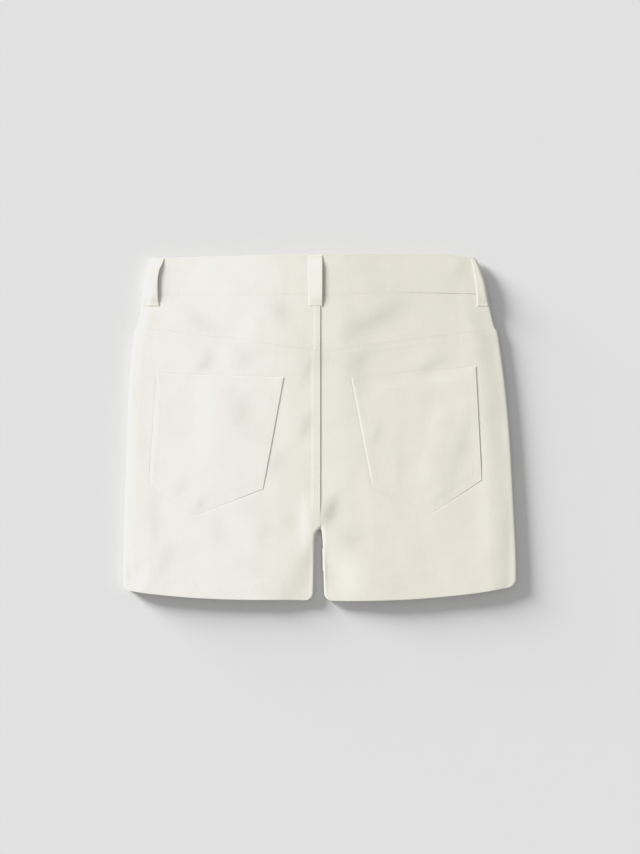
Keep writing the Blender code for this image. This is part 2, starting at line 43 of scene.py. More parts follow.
# Light: large lamps at the upper left in an even room, a low one for the floor, a higher one for the cloth
Lamp = namedtuple("Lamp", "azimuth elevation angle strength")
LAMPS = {"floor": Lamp(144, 8.5, 20, 11.2), "cloth": Lamp(158, 26, 30, 4.69)}
ROOM_STRENGTH = 0.42
FLOOR_LEVEL = -0.2 * MM
FLOOR_SIZE = 3.0
FLOOR_SQUARES = 8
# The camera's tone curve: how bright light of each strength is shown, with a shoulder near white
SHOULDER = ((0.0, 0.0), (0.5, 0.5), (0.8, 0.8), (0.88, 0.865), (1.0, 0.89), (1.4, 0.91), (3.0, 0.93))

# Cloth
CLOTH = 1.2 * MM
HEM_CLOTH = 0.8 * MM  # how much thicker the turned-up hem is
BAND_CLOTH = 1.8 * MM
POCKET_CLOTH = 0.9 * MM
LOOP_CLOTH = 0.9 * MM
LAYER_GAP = 0.3 * MM
GRID = 1.35 * MM
FRONT_GRID = 2.6 * MM
BAND_GRID = 1.2 * MM
SHARP_ANGLE = np.radians(50)

# Edges
SEAM_GAP = 0.04 * MM  # between two pieces that are sewn edge to edge
SEAM_ROUND = 0.06 * MM
YOKE_ROUND = {"left": 0.3 * MM, "right": 0.05 * MM}
EDGE_ROUND = 0.5 * MM  # of a folded edge
FOLD_RADIUS = 2.2 * MM  # how far in from a leg's edge the cloth has turned flat
FOLD_POWER = 3.0  # 2 would turn it along a circle, and more makes a pressed edge
LIP_RISE = 0.06 * MM  # half the gap between back and front there
TUCK = 0.3 * MM  # how far the seam lies in between them
TUCK_GROWS = 4.0 * MM
HEM_CORNER = 7.0 * MM
CORNER_FADES = (3.0 * MM, 13.0 * MM)

# Cut
CROTCH = (0.3 * MM, -93.8 * MM)
CROTCH_OPENS = 0.5 * MM
SEAM_STARTS = (2.0 * MM, 8.0 * MM)  # above the crotch
FRONT_DIP = 12.0 * MM
WAIST_HALVES = (156.0 * MM, 147.0 * MM)
BAND_PROUD = (0.0 * MM, 0.35 * MM)  # over the yoke's face, on the left and on the right
BAND_PROUD_RISES = (66.0 * MM, 104.0 * MM)
FRONT_BAND_PROUD = 0.5 * MM
WAIST_ROUND = 0.2 * MM
BAND_TURN = 2.7 * MM
BAND_TURN_END = 4.0 * MM
BAND_TURN_COLUMNS = 17
BAND_END_STOP = 1.2 * MM
BAND_MIDDLE = 139.0 * MM
WAIST_RISE = 2.0 * MM
WAIST_RISE_LENGTH = 45.0 * MM

# Front opening
LAP_EDGE = 6.0 * MM
UNDERLAP_EDGE = -32.0 * MM
UNDERLAP_STARTS = (18.0 * MM, 32.0 * MM)
FLY_EDGE = 3.0 * MM
FLY_UNDER = 14.0 * MM
FLY_END = 16.0 * MM
FLY_CURVE = 9.0 * MM
LAP_LEVEL = CLOTH + LAYER_GAP
LAP_SLOPE = (5.0 * MM, 15.0 * MM)
LAP_START = (2.0 * MM, 14.0 * MM)

# Button and what it lifts
BUTTON_RADIUS = 7.5 * MM
BUTTON_HEIGHT = 2.4 * MM
BUTTON_X = -8.0 * MM
BUTTON_UP = 17.0 * MM
BUTTON_STEPS = 72
BUTTON_MERGE = 0.01 * MM  # spots this close are one, as where the turned shape closes
BUTTON_HOLE = 9.5 * MM
BUTTON_LIFT = 1.2 * MM
BUTTON_LIFT_REACH = (26.0 * MM, 72.0 * MM)
STACK_LIFT = 3.0 * MM
STACK_LIFT_REACH = (4.0 * MM, 150.0 * MM)
LIFT_GROWS = (20.0 * MM, 118.0 * MM)
FLY_LIFT = 0.5 * MM
FLY_LIFT_REACH = (10.0 * MM, 60.0 * MM)
FLY_LIFT_GROWS = 26.0 * MM

# Belt loops
LOOP_WIDTH = 12.6 * MM
LOOP_PROUD = (0.5 * MM, 1.9 * MM)  # over the waistband, at its left edge and at its right edge
SIDE_LOOP_PROUD = {"left": 2.1 * MM, "right": 0.7 * MM}
LOOP_STAND_OFF = 0.5 * MM
LOOP_SEWN = 0.72  # the share of its height that a loop loses at its ends
LOOP_SEWN_SHARE = 0.24
LOOP_END = 110.4 * MM
LOOP_TOPS = {"center": 157.7 * MM, "left": 154.9 * MM, "right": 154.5 * MM}
CENTER_LOOP_X = -4.0 * MM
LOOP_TURNS = {"left": np.radians(50), "right": np.radians(-12)}
FRONT_LOOPS = {"left": -78.0 * MM, "right": 72.0 * MM}
FRONT_LOOP_TOP = 2.0 * MM
FRONT_LOOP_END = 11.0 * MM
LOOP_BOW = 0.7  # less makes it fuller between its ends
LOOP_STOPS = (0.9, 1.3, 1.7, 2.1, 2.7, 3.4, 4.2, 5.0, 5.8)  # millimetres in from its long edges
LOOP_ROWS = 56
LOOP_STEP = 0.85 * MM

# Stitching
STITCH_PITCH = 2.9 * MM
STITCH_LENGTH = 2.3 * MM
THREAD_WIDTH = 0.5 * MM
THREAD_HEIGHT = 0.36 * MM
THREAD_SUNK = 0.25 * MM
THREAD_SUNK_BELOW = 0.26 * MM  # on the side that lies on the floor
STITCH_LEAN = 0.05
STITCH_SIDES, STITCH_RINGS = 6, 5
BAR_PITCH = 0.5 * MM
BAR_LENGTH = 1.9 * MM
FURROW_DEPTH = 0.03 * MM
FURROW_WIDTH = 0.7 * MM
TWIN_ROWS = (1.6 * MM, 7.4 * MM)  # from the edge, for both needles
FELL_ROWS = (1.3 * MM, 5.6 * MM)
YOKE_FELL_ROWS = (1.0 * MM, 3.0 * MM)
EDGE_ROW = 1.7 * MM
HEM_ROW = 21.0 * MM
POCKET_HEM_ROW = 14.0 * MM
FLY_ROWS = (-27.0 * MM, -21.0 * MM)
FLY_ROW_TURN = 34.0 * MM
FLY_ROW_SPOTS = (24, 14)  # down its straight part and round its bend

Row = namedtuple("Row", "share offset", defaults=(0.0,))
Column = namedtuple("Column", "share offset seam_offset", defaults=(0.0, 0.0))
BandColumn = namedtuple("BandColumn", "share offset turn lap")
Gather = namedtuple("Gather", "rise reach wavelength seed")
FLAT = np.pi / 2
PASSES = 8  # that settle where columns and rows cross, as each depends on the other


def table(names, *rows):
    """Named columns of millimetres, turned into metres."""
    Table = namedtuple("Table", names)
    return Table(*(np.array(column) * MM for column in zip(*rows)))


SIDES = table(
    "y left right",
    (-160, -181.0, 181.0),
    (-122, -180.2, 180.4),
    (-76, -178.9, 178.2),
    (-40, -177.9, 176.2),
    (-3, -176.5, 173.9),
    (34, -175.2, 170.4),
    (57, -173.3, 167.6),
    (75, -171.5, 165.0),
    (88, -170.0, 162.6),
    (92, -167.8, 160.3),
    (108, -164.3, 156.3),
    (122, -161.6, 153.0),
    (132, -159.4, 151.0),
    (144, -156.8, 147.2),
    (152, -155.2, 144.2),
    (160, -153.4, 139.0),
)

INSEAMS = table(
    "y left right",
    (-160, -6.2, 4.4),
    (-145, -5.8, 3.6),
    (-122, -5.3, 3.1),
    (-108, -4.9, 2.7),
    (-99, -3.9, 2.1),
    (-95.2, -2.0, 1.3),
    (-93.8, 0.15, 0.45),
)

HEM = table(
    "x y",
    (-181, -149.6),
    (-157, -153.2),
    (-134, -155.5),
    (-111, -157.3),
    (-74, -158.7),
    (-19, -159.2),
    (27, -160.1),
    (73, -158.9),
    (119, -155.5),
    (156, -150.9),
    (181, -146.0),
)

YOKE_SEAM = table(
    "x y",
    (-170, 90.4),
    (-148, 89.2),
    (-104, 83.7),
    (-72, 81.4),
    (-54, 77.7),
    (-3, 70.4),
    (3, 70.0),
    (35, 74.5),
    (98, 82.5),
    (162, 90.2),
)

BAND_SEAM = table("x y", (-165, 121.6), (-80, 121.0), (0, 121.4), (84, 123.2), (155, 121.9))

WAIST_EDGE = table(
    "x y",
    (-156, 154.7),
    (-110, 156.1),
    (-65, 157.2),
    (0, 158.3),
    (50, 159.2),
    (110, 158.7),
    (145, 155.0),
)

LOOP_EDGES = table(
    "y left right",
    (110, -147.0, 144.3),
    (120, -148.4, 144.1),
    (132, -148.7, 143.2),
    (144, -147.0, 141.3),
    (150, -144.3, 139.8),
    (157, -141.9, 137.0),
)

# Height of the back's outer face: plain, at its outer edges, and at its inner ones
LEVELS = table(
    "y plain left right inner",
    (-160, 6.3, 5.8, 5.3, 4.7),
    (-138, 6.3, 5.8, 5.3, 4.7),
    (-120, 6.3, 5.9, 5.2, 3.9),
    (-60, 6.2, 5.9, 5.0, 4.7),
    (0, 6.2, 5.9, 4.7, 6.2),
    (90, 6.2, 5.9, 4.6, 6.2),
    (122, 6.2, 5.9, 5.3, 6.2),
    (160, 6.2, 5.9, 5.3, 6.2),
)
SIDE_REACH = {"left": (1.0 * MM, 10.0 * MM), "right": (0.0 * MM, 25.0 * MM)}
INNER_REACH = (0.0 * MM, 46.0 * MM)
# The inner leg edges sink below a line that slants down from the crotch: its height there and its slope
INNER_STARTS = {"left": (-98.0 * MM, 1.0), "right": (-86.0 * MM, 0.86)}
INNER_GROWS = (-4.0 * MM, 38.0 * MM)

FOLD_LEVELS = table(
    "y side inner",
    (-160, 2.9, 2.7),
    (-60, 3.0, 2.7),
    (70, 3.0, 2.7),
    (122, 3.9, 2.7),
    (160, 3.9, 2.7),
)

# Folds of worn cloth in millimetres: where one falls off and which way, in degrees, how far from there
# to its crest and to its hollow, its breadth, and how much lower than the crest the hollow lies
FOLDS = (
    (-110, 96, -28, 26, 9, 2.1),
    (-38, 108, -28, 21, 8, 1.7),
    (-106, 58, -37, 10, 13, 0.95),
    (-70, 63, -40, 11, 9, 0.65),
    (-12, 50, -20, 7, 13, 0.6),
    (-72, 18, -42, 21, 14, 1.5),
    (-12, 3, -20, 7, 17, 0.55),
    (-66, 91, 143, 14, 15, 0.9),
    (-114, 138, 143, 12, 14, 0.5),
    (-106, 12, 180, 15, 42, 0.9),
    (-34, -6, 180, 8, 18, 0.35),
    (-126, -52, -30, 8, 12, 0.45),
    (-112, -73, -37, 8, 10, 0.5),
    (-93, -97, -38, 18, 12, 0.8),
    (-142, -122, -20, 9, 16, 0.5),
    (-152, -66, 0, 8, 46, 0.32),
    (-39, -31, -30, 8, 12, 0.4),
    (-53, -101, -30, 12, 16, 0.45),
    (-15, -88, 180, 7, 20, 1.2),
    (-166, -142, 160, 10, 12, 0.9),
    (48, 97, -62, 13, 34, 1.4),
    (38, 60, -50, 10, 13, 0.7),
    (103, 57, -65, 9, 17, 1.0),
    (125, 138, -20, 11, 18, 0.5),
    (50, 28, 143, 12, 18, 0.5),
    (108, 10, 143, 10, 16, 0.4),
    (10, -76, -25, 10, 14, 2.0),
    (30, -106, -30, 20, 12, 0.6),
    (28, -134, 165, 16, 24, 1.1),
    (128, -24, -15, 11, 34, 0.8),
    (97, -28, 170, 10, 34, 0.5),
    (73, -36, 0, 6, 20, 0.2),
    (52, -7, -30, 6, 10, 0.4),
    (46, -98, 180, 7, 24, 0.2),
    (171, -110, 0, 7, 46, 0.4),
    (150, -74, 180, 12, 52, 0.6),
)
FOLDS_FROM_SIDES = (1.0 * MM, 8.0 * MM)
FOLDS_FROM_FORK = (0.0 * MM, 3.5 * MM)
FOLDS_FROM_WAIST = (2.0 * MM, 16.0 * MM)

SLACK = ((44 * MM, 0.1 * MM, 3), (17 * MM, 0.035 * MM, 5))  # wavelength, height and seed
SLACK_FROM_SIDES = 18.0 * MM
SLACK_WAVES = 14
SLACK_LENGTHS = (0.6, 1.9)  # the waves' shortest and longest, as shares of the wavelength
SLACK_SUM = 4  # about how high they add up

# The same for the uneven wave along a line
RIPPLE_WAVES = 6
RIPPLE_LENGTHS = (0.6, 1.8)
RIPPLE_SUM = 2.6

# The centre seam's strip, which lies on the left of it, and the yoke seam's, below it
FELL_HEIGHT = 0.2 * MM
FELL_SUNK = 0.5 * MM  # how far the right panels lie lower beside it
FELL_SUNK_WIDTH = 24.0 * MM
FELL_FLAT = (5.8 * MM, 3.6 * MM)  # in the lower panel and in the yoke
FELL_RAMP = 3.0 * MM
FELL_END = (-84.0 * MM, -66.0 * MM)
FELL_TOP = (112.0 * MM, 122.0 * MM)
YOKE_FELL_HEIGHT = 0.1 * MM
YOKE_FELL_WIDTH = 8.6 * MM
YOKE_FELL_SLOPE = 4.0 * MM

# Patch pocket corners, from the inner top corner round by way of the point
POCKETS = {
    "left": ((-33.0, 45.5), (-149.9, 49.0), (-157.2, -54.3), (-113.5, -81.0), (-52.1, -57.0)),
    "right": ((28.6, 45.1), (143.2, 55.2), (148.7, -48.8), (103.6, -79.1), (47.9, -56.1)),
}
POCKET_PROUD = {"left": (0.2 * MM, 0.6 * MM), "right": (0.4 * MM, 0.65 * MM)}  # at its left and right
POCKET_FOOT_PROUD = {"left": (0.1 * MM, 0.4 * MM), "right": (0.06 * MM, 0.4 * MM)}  # the same, at its foot
POCKET_FOOT = 15.0 * MM
POCKET_FOOT_RISES = (0.55, 1.0)
POCKET_RAMPS = {"left": 3.5 * MM, "right": 2.0 * MM}  # it rises softly from its left edge
POCKET_RAMP_START = 0.2  # of the ramp, outside that edge
POCKET_SOFT_ROUND = 0.12 * MM
POCKET_MOUTH_ROUND = {"left": 0.35 * MM, "right": 0.12 * MM}
POCKET_MOUTH_PROUD = 0.12 * MM
POCKET_MOUTH_REACH = 14.0 * MM
POCKET_PRESSED = 1.2 * MM  # how deep the panel gives way under it, below its own face
POCKET_PRESS_WIDTH = (0.2 * MM, 2.6 * MM)
POCKET_TACK = ((2.2 * MM, -1.5 * MM), (2.6 * MM, -9.0 * MM))  # from a top corner
POCKET_TACK_SPOTS = 9

BUTTON_PROFILE = (
    (0.0, 1.0),
    (0.76, 1.0),
    (0.90, 0.92),
    (0.98, 0.72),
    (1.0, 0.5),
    (0.98, 0.26),
    (0.92, 0.08),
    (0.84, 0.0),
    (0.72, 0.01),
    (0.65, 0.09),
    (0.60, 0.17),
    (0.40, 0.14),
    (0.14, 0.12),
    (0.0, 0.12),
)

HEM_GATHER = Gather(0.035 * MM, 9.0 * MM, 6.5 * MM, 51)
YOKE_GATHER = Gather(0.02 * MM, 3.5 * MM, 6.0 * MM, 41)
FELL_GATHER = Gather(0.02 * MM, 3.0 * MM, 6.0 * MM, 61)
BAND_GATHER = Gather(0.035 * MM, 5.0 * MM, 9.0 * MM, 71)
WAIST_GATHER = Gather(0.03 * MM, 5.0 * MM, 12.0 * MM, 81)
POCKET_GATHER = Gather(0.02 * MM, 4.5 * MM, 7.0 * MM, 91)
HEM_SLANT = 0.6
GATHER_SWELL = 8  # wavelengths, over which gathers grow and fade
GATHER_STRENGTH = 0.55
GATHER_STRENGTHS = (0.1, 1.2)


def along(places, values, at):
    """A smooth curve through stations that never overshoots them."""
    steps = np.diff(places)
    slopes = np.diff(values) / steps
    both = slopes[:-1] * slopes[1:]
    total = slopes[:-1] + slopes[1:]
    inner = np.where(both > 0, 2 * both / np.where(both > 0, total, 1.0), 0.0)
    tangents = np.concatenate([slopes[:1], inner, slopes[-1:]])
    at = np.clip(at, places[0], places[-1])
    i = np.clip(np.searchsorted(places, at) - 1, 0, len(steps) - 1)
    t = (at - places[i]) / steps[i]
    start = (1 + 2 * t) * (1 - t) ** 2 * values[i] + t * (1 - t) ** 2 * steps[i] * tangents[i]
    end = t * t * (3 - 2 * t) * values[i + 1] + t * t * (t - 1) * steps[i] * tangents[i + 1]
    return start + end


def ease(value, start, end):
    """0 at start, 1 at end, and level at both."""
    t = np.clip((value - start) / (end - start), 0.0, 1.0)
    return t * t * (3 - 2 * t)


def side_edge(side, y):
    return along(SIDES.y, getattr(SIDES, side), y)


def hem(x):
    return along(HEM.x, HEM.y, x)


def yoke_seam(x):
    return along(YOKE_SEAM.x, YOKE_SEAM.y, x)


def band_seam(x):
    return along(BAND_SEAM.x, BAND_SEAM.y, x)


def waist_edge(x):
    return along(WAIST_EDGE.x, WAIST_EDGE.y, x)


def front_dip(x):
    """How far the front waist lies below the back one."""
    half = np.where(x < 0, WAIST_HALVES[0], WAIST_HALVES[1])
    return FRONT_DIP * np.clip(1 - (x / half) ** 2, 0.0, 1.0)


def front_seam(x):
    """The waistband's lower seam on the front."""
    return band_seam(x) - front_dip(x)


def toward_middle(side):
    return 1.0 if side == "left" else -1.0


def inner_edge(side, y):
    """The centre seam, and below the crotch the inner edge of a leg."""
    seam = CROTCH[0] - toward_middle(side) * SEAM_GAP / 2
    return np.where(y < CROTCH[1], along(INSEAMS.y, getattr(INSEAMS, side), y), seam)


def front_inner_edge(side, y):
    """The front panels' inner edge: the right one goes in under the left one at the fly."""
    seam = inner_edge(side, y)
    target = FLY_EDGE if side == "left" else -FLY_UNDER
    return seam + (target - seam) * ease(y, FLY_END, FLY_END + FLY_CURVE)


def hem_corner(x, y):
    """How far a leg's folded edges draw in where its hem's corners are rounded."""
    short = HEM_CORNER - np.clip(y - hem(x), 0.0, HEM_CORNER)
    return HEM_CORNER - np.sqrt(HEM_CORNER**2 - short**2)


def from_side(side, x, y):
    return toward_middle(side) * (x - side_edge(side, y)) - hem_corner(x, y)


def from_sides(x, y):
    """The distance in from the nearer outer edge."""
    return np.minimum(from_side("left", x, y), from_side("right", x, y))


def from_fork(x, y):
    """The distance from the nearer inner leg edge, or above it from the crotch."""
    left = along(INSEAMS.y, INSEAMS.left, y)
    right = along(INSEAMS.y, INSEAMS.right, y)
    beside = np.where(x < CROTCH[0], left - x, x - right) - hem_corner(x, y)
    return np.where(y < CROTCH[1], beside, np.hypot(x - CROTCH[0], y - CROTCH[1]))


def lift(x, y, amount, reach):
    """How far the button and the lapped ends under it raise what lies over them."""
    return amount * (1 - ease(np.abs(x - BUTTON_X), *reach)) * ease(y, *LIFT_GROWS)


def fly_lift(x, y):
    """How far the lapped fly raises the back over it."""
    across = 1 - ease(np.abs(x + FLY_UNDER / 2), *FLY_LIFT_REACH)
    return FLY_LIFT * across * ease(y, FLY_END - FLY_LIFT_GROWS, FLY_END) * (1 - ease(y, *LIFT_GROWS))


def folds(x, y):
    """The height that the folds of worn cloth add."""
    height = np.zeros_like(x)
    for middle_x, middle_y, way, reach, breadth, fall in FOLDS:
        turn, off_x, off_y = np.radians(way), x - middle_x * MM, y - middle_y * MM
        ahead = (off_x * np.cos(turn) + off_y * np.sin(turn)) / (reach * MM)
        aside = (off_y * np.cos(turn) - off_x * np.sin(turn)) / (breadth * MM)
        height = height - fall * MM * ahead / (1 + ahead**2) * np.exp(-(aside**2))
    fading = ease(from_sides(x, y), *FOLDS_FROM_SIDES) * ease(from_fork(x, y), *FOLDS_FROM_FORK)
    return height * fading * ease(waist_edge(x) - y, *FOLDS_FROM_WAIST)


def back_face(x, y):
    """The height of the back's outer face, before its folded edges and seam strips."""
    plain = along(LEVELS.y, LEVELS.plain, y)
    height = plain
    for side, reach in SIDE_REACH.items():
        near = 1 - ease(from_side(side, x, y), *reach)
        height = height + near * (along(LEVELS.y, getattr(LEVELS, side), y) - plain)
    starts = np.where(x < CROTCH[0], *(start - slope * np.abs(x) for start, slope in INNER_STARTS.values()))
    near = (1 - ease(from_fork(x, y), *INNER_REACH)) * ease(starts - y, *INNER_GROWS)
    height = height + near * (along(LEVELS.y, LEVELS.inner, y) - plain)
    return height + folds(x, y) + lift(x, y, STACK_LIFT, STACK_LIFT_REACH) + fly_lift(x, y)


def front_face(x, y):
    """The height of the front's outer face, which lies on the surface up to near the waist."""
    start = front_seam(x) - WAIST_RISE_LENGTH
    rise = WAIST_RISE * ease(y, start, start + WAIST_RISE_LENGTH)
    return rise + lift(x, y, BUTTON_LIFT, BUTTON_LIFT_REACH)


def ripple(at, wavelength, seed):
    """An uneven wave along a line, between about -1 and 1."""
    draw = np.random.default_rng(seed)
    lengths = wavelength * draw.uniform(*RIPPLE_LENGTHS, RIPPLE_WAVES)
    phases = draw.uniform(0.0, 2 * np.pi, RIPPLE_WAVES)
    waves = [np.sin(2 * np.pi * at / length + phase) for length, phase in zip(lengths, phases)]
    return np.sum(waves, axis=0) / RIPPLE_SUM


def slack(x, y):
    """The unevenness of cloth that isn't pressed."""
    height = np.zeros_like(x)
    for wavelength, rise, seed in SLACK:
        draw = np.random.default_rng(seed)
        for turn in draw.uniform(0.0, np.pi, SLACK_WAVES):
            length, phase = wavelength * draw.uniform(*SLACK_LENGTHS), draw.uniform(0.0, 2 * np.pi)
            at = x * np.cos(turn) + y * np.sin(turn)
            height = height + rise / SLACK_SUM * np.sin(2 * np.pi * at / length + phase)
    return height * ease(from_sides(x, y), 0.0, SLACK_FROM_SIDES)


def lie(x, y):
    """The height of the back's outer face with the slack of its cloth."""
    return back_face(x, y) + slack(x, y)


def fell_strip(x, y):
    """The centre seam's raised strip, which ends sharply at the seam, and the lower cloth on its right."""
    flat = np.where(y > yoke_seam(x), FELL_FLAT[1], FELL_FLAT[0])
    inward = CROTCH[0] - x
    left = FELL_HEIGHT * (1 - ease(inward, flat, flat + FELL_RAMP)) * (inward > 0)
    right = FELL_SUNK * (1 - ease(-inward, 0.0, FELL_SUNK_WIDTH)) * (inward <= 0)
    return (left - right) * ease(y, *FELL_END) * (1 - ease(y, *FELL_TOP))


def yoke_strip(x, y):
    """The yoke seam's raised strip, along the top of the lower panel."""
    below = yoke_seam(x) - y - YOKE_FELL_WIDTH
    return YOKE_FELL_HEIGHT * (1 - ease(below, -YOKE_FELL_SLOPE, YOKE_FELL_SLOPE))


def turning(distance):
    """How far a face has risen from a folded edge to its full height, at a distance in from the edge."""
    short = 1 - np.clip(distance / FOLD_RADIUS, 0.0, 1.0)
    return (1 - short**FOLD_POWER) ** (1 / FOLD_POWER)


def turned(face, x, y, up):
    """The height of an outer face that turns over into the folded edges beside it."""
    side_distance, fork_distance = from_sides(x, y), from_fork(x, y)
    side = along(FOLD_LEVELS.y, FOLD_LEVELS.side, y)
    inner = along(FOLD_LEVELS.y, FOLD_LEVELS.inner, y)
    fold = np.where(side_distance < fork_distance, side, inner)
    share = turning(side_distance) * turning(fork_distance)
    from_crotch = np.hypot(x - CROTCH[0], y - CROTCH[1])
    rise = LIP_RISE + CROTCH_OPENS * (1 - ease(from_crotch, 0.0, 2 * FOLD_RADIUS))
    return np.where(share < 1, fold + up * np.maximum(rise, up * (face - fold) * share), face)


def tucked(x, y, side):
    """Back and front are joined a little way in from their folded edges."""
    x = x.copy()
    outer, inner = (0, -1) if abs(x[0, 0]) > abs(x[0, -1]) else (-1, 0)
    x[:, outer] += toward_middle(side) * TUCK
    x[:, inner] -= toward_middle(side) * TUCK * ease(CROTCH[1] - y[:, inner], 0.0, TUCK_GROWS)
    return x


def rounded(distance, radius):
    """How far an edge's face drops at a distance in from it."""
    short = radius - np.clip(distance, 0.0, radius)
    return radius - np.sqrt(radius**2 - short**2)


def sewn(away):
    """A stitch row draws the cloth in under its thread."""
    return -FURROW_DEPTH * np.exp(-((away / FURROW_WIDTH) ** 2))


def gathers(at, away, gather):
    """And it gathers the cloth beside it, in short uneven waves across the row."""
    swell = ripple(at, GATHER_SWELL * gather.wavelength, gather.seed + 1)
    strength = np.clip(swell + GATHER_STRENGTH, *GATHER_STRENGTHS)
    wave = ripple(at, gather.wavelength, gather.seed)
    return gather.rise * strength * np.exp(-((away / gather.reach) ** 2)) * wave


# Grids

CLOSE = tuple(step * MM for step in (-0.9, -0.45, 0.0, 0.45, 0.9))
CLOSEST = 0.4 * MM  # that an even distance may come to one of those
EDGE_STOPS = tuple(stop * MM for stop in (0.0, 0.07, 0.2, 0.5))
AFTER_EDGE = (0.65 * MM, 1.0 * MM)  # the next distance: at least, and where no stitch row is near
FOLD_TURNS = np.radians((0, 9, 18, 28, 38, 50, 64, 90))
FOLD_STOPS = tuple(FOLD_RADIUS * (1 - np.abs(np.cos(turn)) ** (2 / FOLD_POWER)) for turn in FOLD_TURNS)


def stops(start, end, spacing, near=()):
    """Even distances from start to end, with closer ones round the stitch rows."""
    close = [place + step for place in near for step in CLOSE]
    even = np.linspace(start, end, int(np.ceil((end - start) / spacing)) + 1)
    kept = [place for place in even if all(abs(place - other) > CLOSEST for other in close)]
    return sorted({*kept, *close})


def from_edge(end, spacing, near=()):
    """Distances in from an edge that is rounded."""
    least, start = AFTER_EDGE
    return [*EDGE_STOPS, *(place for place in stops(start, end, spacing, near) if place > least)]


def between(low, high, spacing, lower, upper):
    """Rows from a low edge to a high one, with the given distances in from either end."""
    made = [Row(0.0, offset) for offset in lower]
    count = int(round((high - low - lower[-1] - upper[-1]) / spacing))
    for step in range(1, count):
        share = step / count
        made.append(Row(share, lower[-1] * (1 - share) - upper[-1] * share))
    return made + [Row(1.0, -offset) for offset in reversed(upper)]


def across_half(side, outer, inner_fold, inner_seam, width, spacing):
    """Columns of a half from left to right: at folds and at seams they keep their own distances."""
    made = [Column(0.0, offset, offset) for offset in outer]
    count = int(round((width - outer[-1] - inner_seam[-1]) / spacing))
    for step in range(1, count):
        share = step / count
        start = outer[-1] * (1 - share)
        made.append(Column(share, start - inner_fold[-1] * share, start - inner_seam[-1] * share))
    made += [Column(1.0, -fold, -seam) for fold, seam in list(zip(inner_fold, inner_seam))[::-1]]
    return made if side == "left" else made[::-1]


def index(stations, share, offset):
    """The number of the station at this share whose distance comes nearest."""
    at_seam = [getattr(at, "seam_offset", at.offset) for at in stations]
    away = [abs(place - offset) if at.share == share else 1.0 for at, place in zip(stations, at_seam)]
    return int(np.argmin(away))


def cross(columns, rows):
    """Every column's values beside every row's."""
    column = type(columns[0])(*(np.array(values)[None, :] for values in zip(*columns)))
    row = type(rows[0])(*(np.array(values)[:, None] for values in zip(*rows)))
    return column, row


def spread(side, columns, rows, low, high, inner=inner_edge):
    """Where the columns and rows of a half cross, seen from above."""
    column, row = cross(columns, rows)
    toward = toward_middle(side)
    x = np.zeros((len(rows), len(columns)))
    y = low(x) + (high(x) - low(x)) * row.share
    for _ in range(PASSES):
        leg = 1 - ease(y, CROTCH[1], CROTCH[1] + FOLD_RADIUS)
        offset = column.seam_offset + (column.offset - column.seam_offset) * leg
        corner = (1 - 2 * column.share) * hem_corner(x, y) * (1 - ease(np.abs(offset), *CORNER_FADES))
        x = side_edge(side, y) * (1 - column.share) + inner(side, y) * column.share
        x = x + toward * (offset + corner)
        y = low(x) * (1 - row.share) + high(x) * row.share + row.offset
    return x, y


def unit(vectors):
    return vectors / np.linalg.norm(vectors, axis=-1, keepdims=True)


def add(name, points, faces, finish, sharp=SHARP_ANGLE):
    mesh = bpy.data.meshes.new(name)
    mesh.from_pydata(points, [], faces)
    mesh.shade_smooth()
    mesh.set_sharp_from_angle(angle=sharp)
    mesh.materials.append(finish)
    piece = bpy.data.objects.new(name, mesh)
    bpy.context.scene.collection.objects.link(piece)
    return piece


class Shell:
    """A cloth piece: its outer face's spots and normals, its closed mesh, and its stitch rows."""

    def __init__(self, name, x, y, z, wall, drop, finish, sunk=THREAD_SUNK, up=0.0):
        self.spots = np.stack([x, y, z], axis=-1)
        self.normals = unit(np.cross(np.gradient(self.spots, axis=1), np.gradient(self.spots, axis=0)))
        # Where a rounded corner folds the grid over, it still faces as its panel does
        self.normals[self.normals[..., 2] * up < -0.5] *= -1
        wall = np.broadcast_to(wall, x.shape)[..., None]
        outer, inner = self.spots - self.normals * drop[..., None], self.spots - self.normals * wall
        number = np.arange(x.size).reshape(x.shape)
        under = number + x.size
        top = np.stack([number[:-1, :-1], number[:-1, 1:], number[1:, 1:], number[1:, :-1]], axis=-1)
        low = np.stack([under[:-1, :-1], under[1:, :-1], under[1:, 1:], under[:-1, 1:]], axis=-1)
        ring = np.concatenate([number[0, :-1], number[:-1, -1], number[-1, :0:-1], number[:0:-1, 0]])
        after = np.roll(ring, -1)
        rim = np.stack([ring, ring + x.size, after + x.size, after], axis=-1)
        faces = np.concatenate([top.reshape(-1, 4), low.reshape(-1, 4), rim]).tolist()
        self.piece = add(name, np.concatenate([outer.reshape(-1, 3), inner.reshape(-1, 3)]), faces, finish)
        self.seams, self.bars, self.sunk = [], [], sunk

    def leg(self, rows, columns):
        return tuple(values[rows, columns].reshape(-1, 3) for values in (self.spots, self.normals))

    def over(self, path):
        """Places on the face that are given as seen from above."""
        every, facing = self.spots.reshape(-1, 3), self.normals.reshape(-1, 3)
        closest = [int(np.argmin(np.hypot(*(every[:, :2] - place).T))) for place in path]
        return np.concatenate([path, every[closest, 2:]], axis=1), facing[closest]

    def sew(self, *legs):
        """A stitch row along the grid, through these rows and columns one after another."""
        found = [self.leg(rows, columns) for rows, columns in legs]
        self.seams.append(tuple(np.concatenate(values) for values in zip(*found)))


def capsule():
    """One stitch, a unit long, wide and high."""
    bm = bmesh.new()
    bmesh.ops.create_uvsphere(bm, u_segments=STITCH_SIDES, v_segments=STITCH_RINGS, radius=0.5)
    points = np.array([vertex.co[:] for vertex in bm.verts])[:, [2, 0, 1]]
    faces = np.array([[vertex.index for vertex in face.verts] for face in bm.faces], dtype=object)
    bm.free()
    return points, faces


def read(run, values, at):
    """Vectors at distances along a row."""
    return np.stack([np.interp(at, run, values[:, axis]) for axis in range(3)], axis=1)


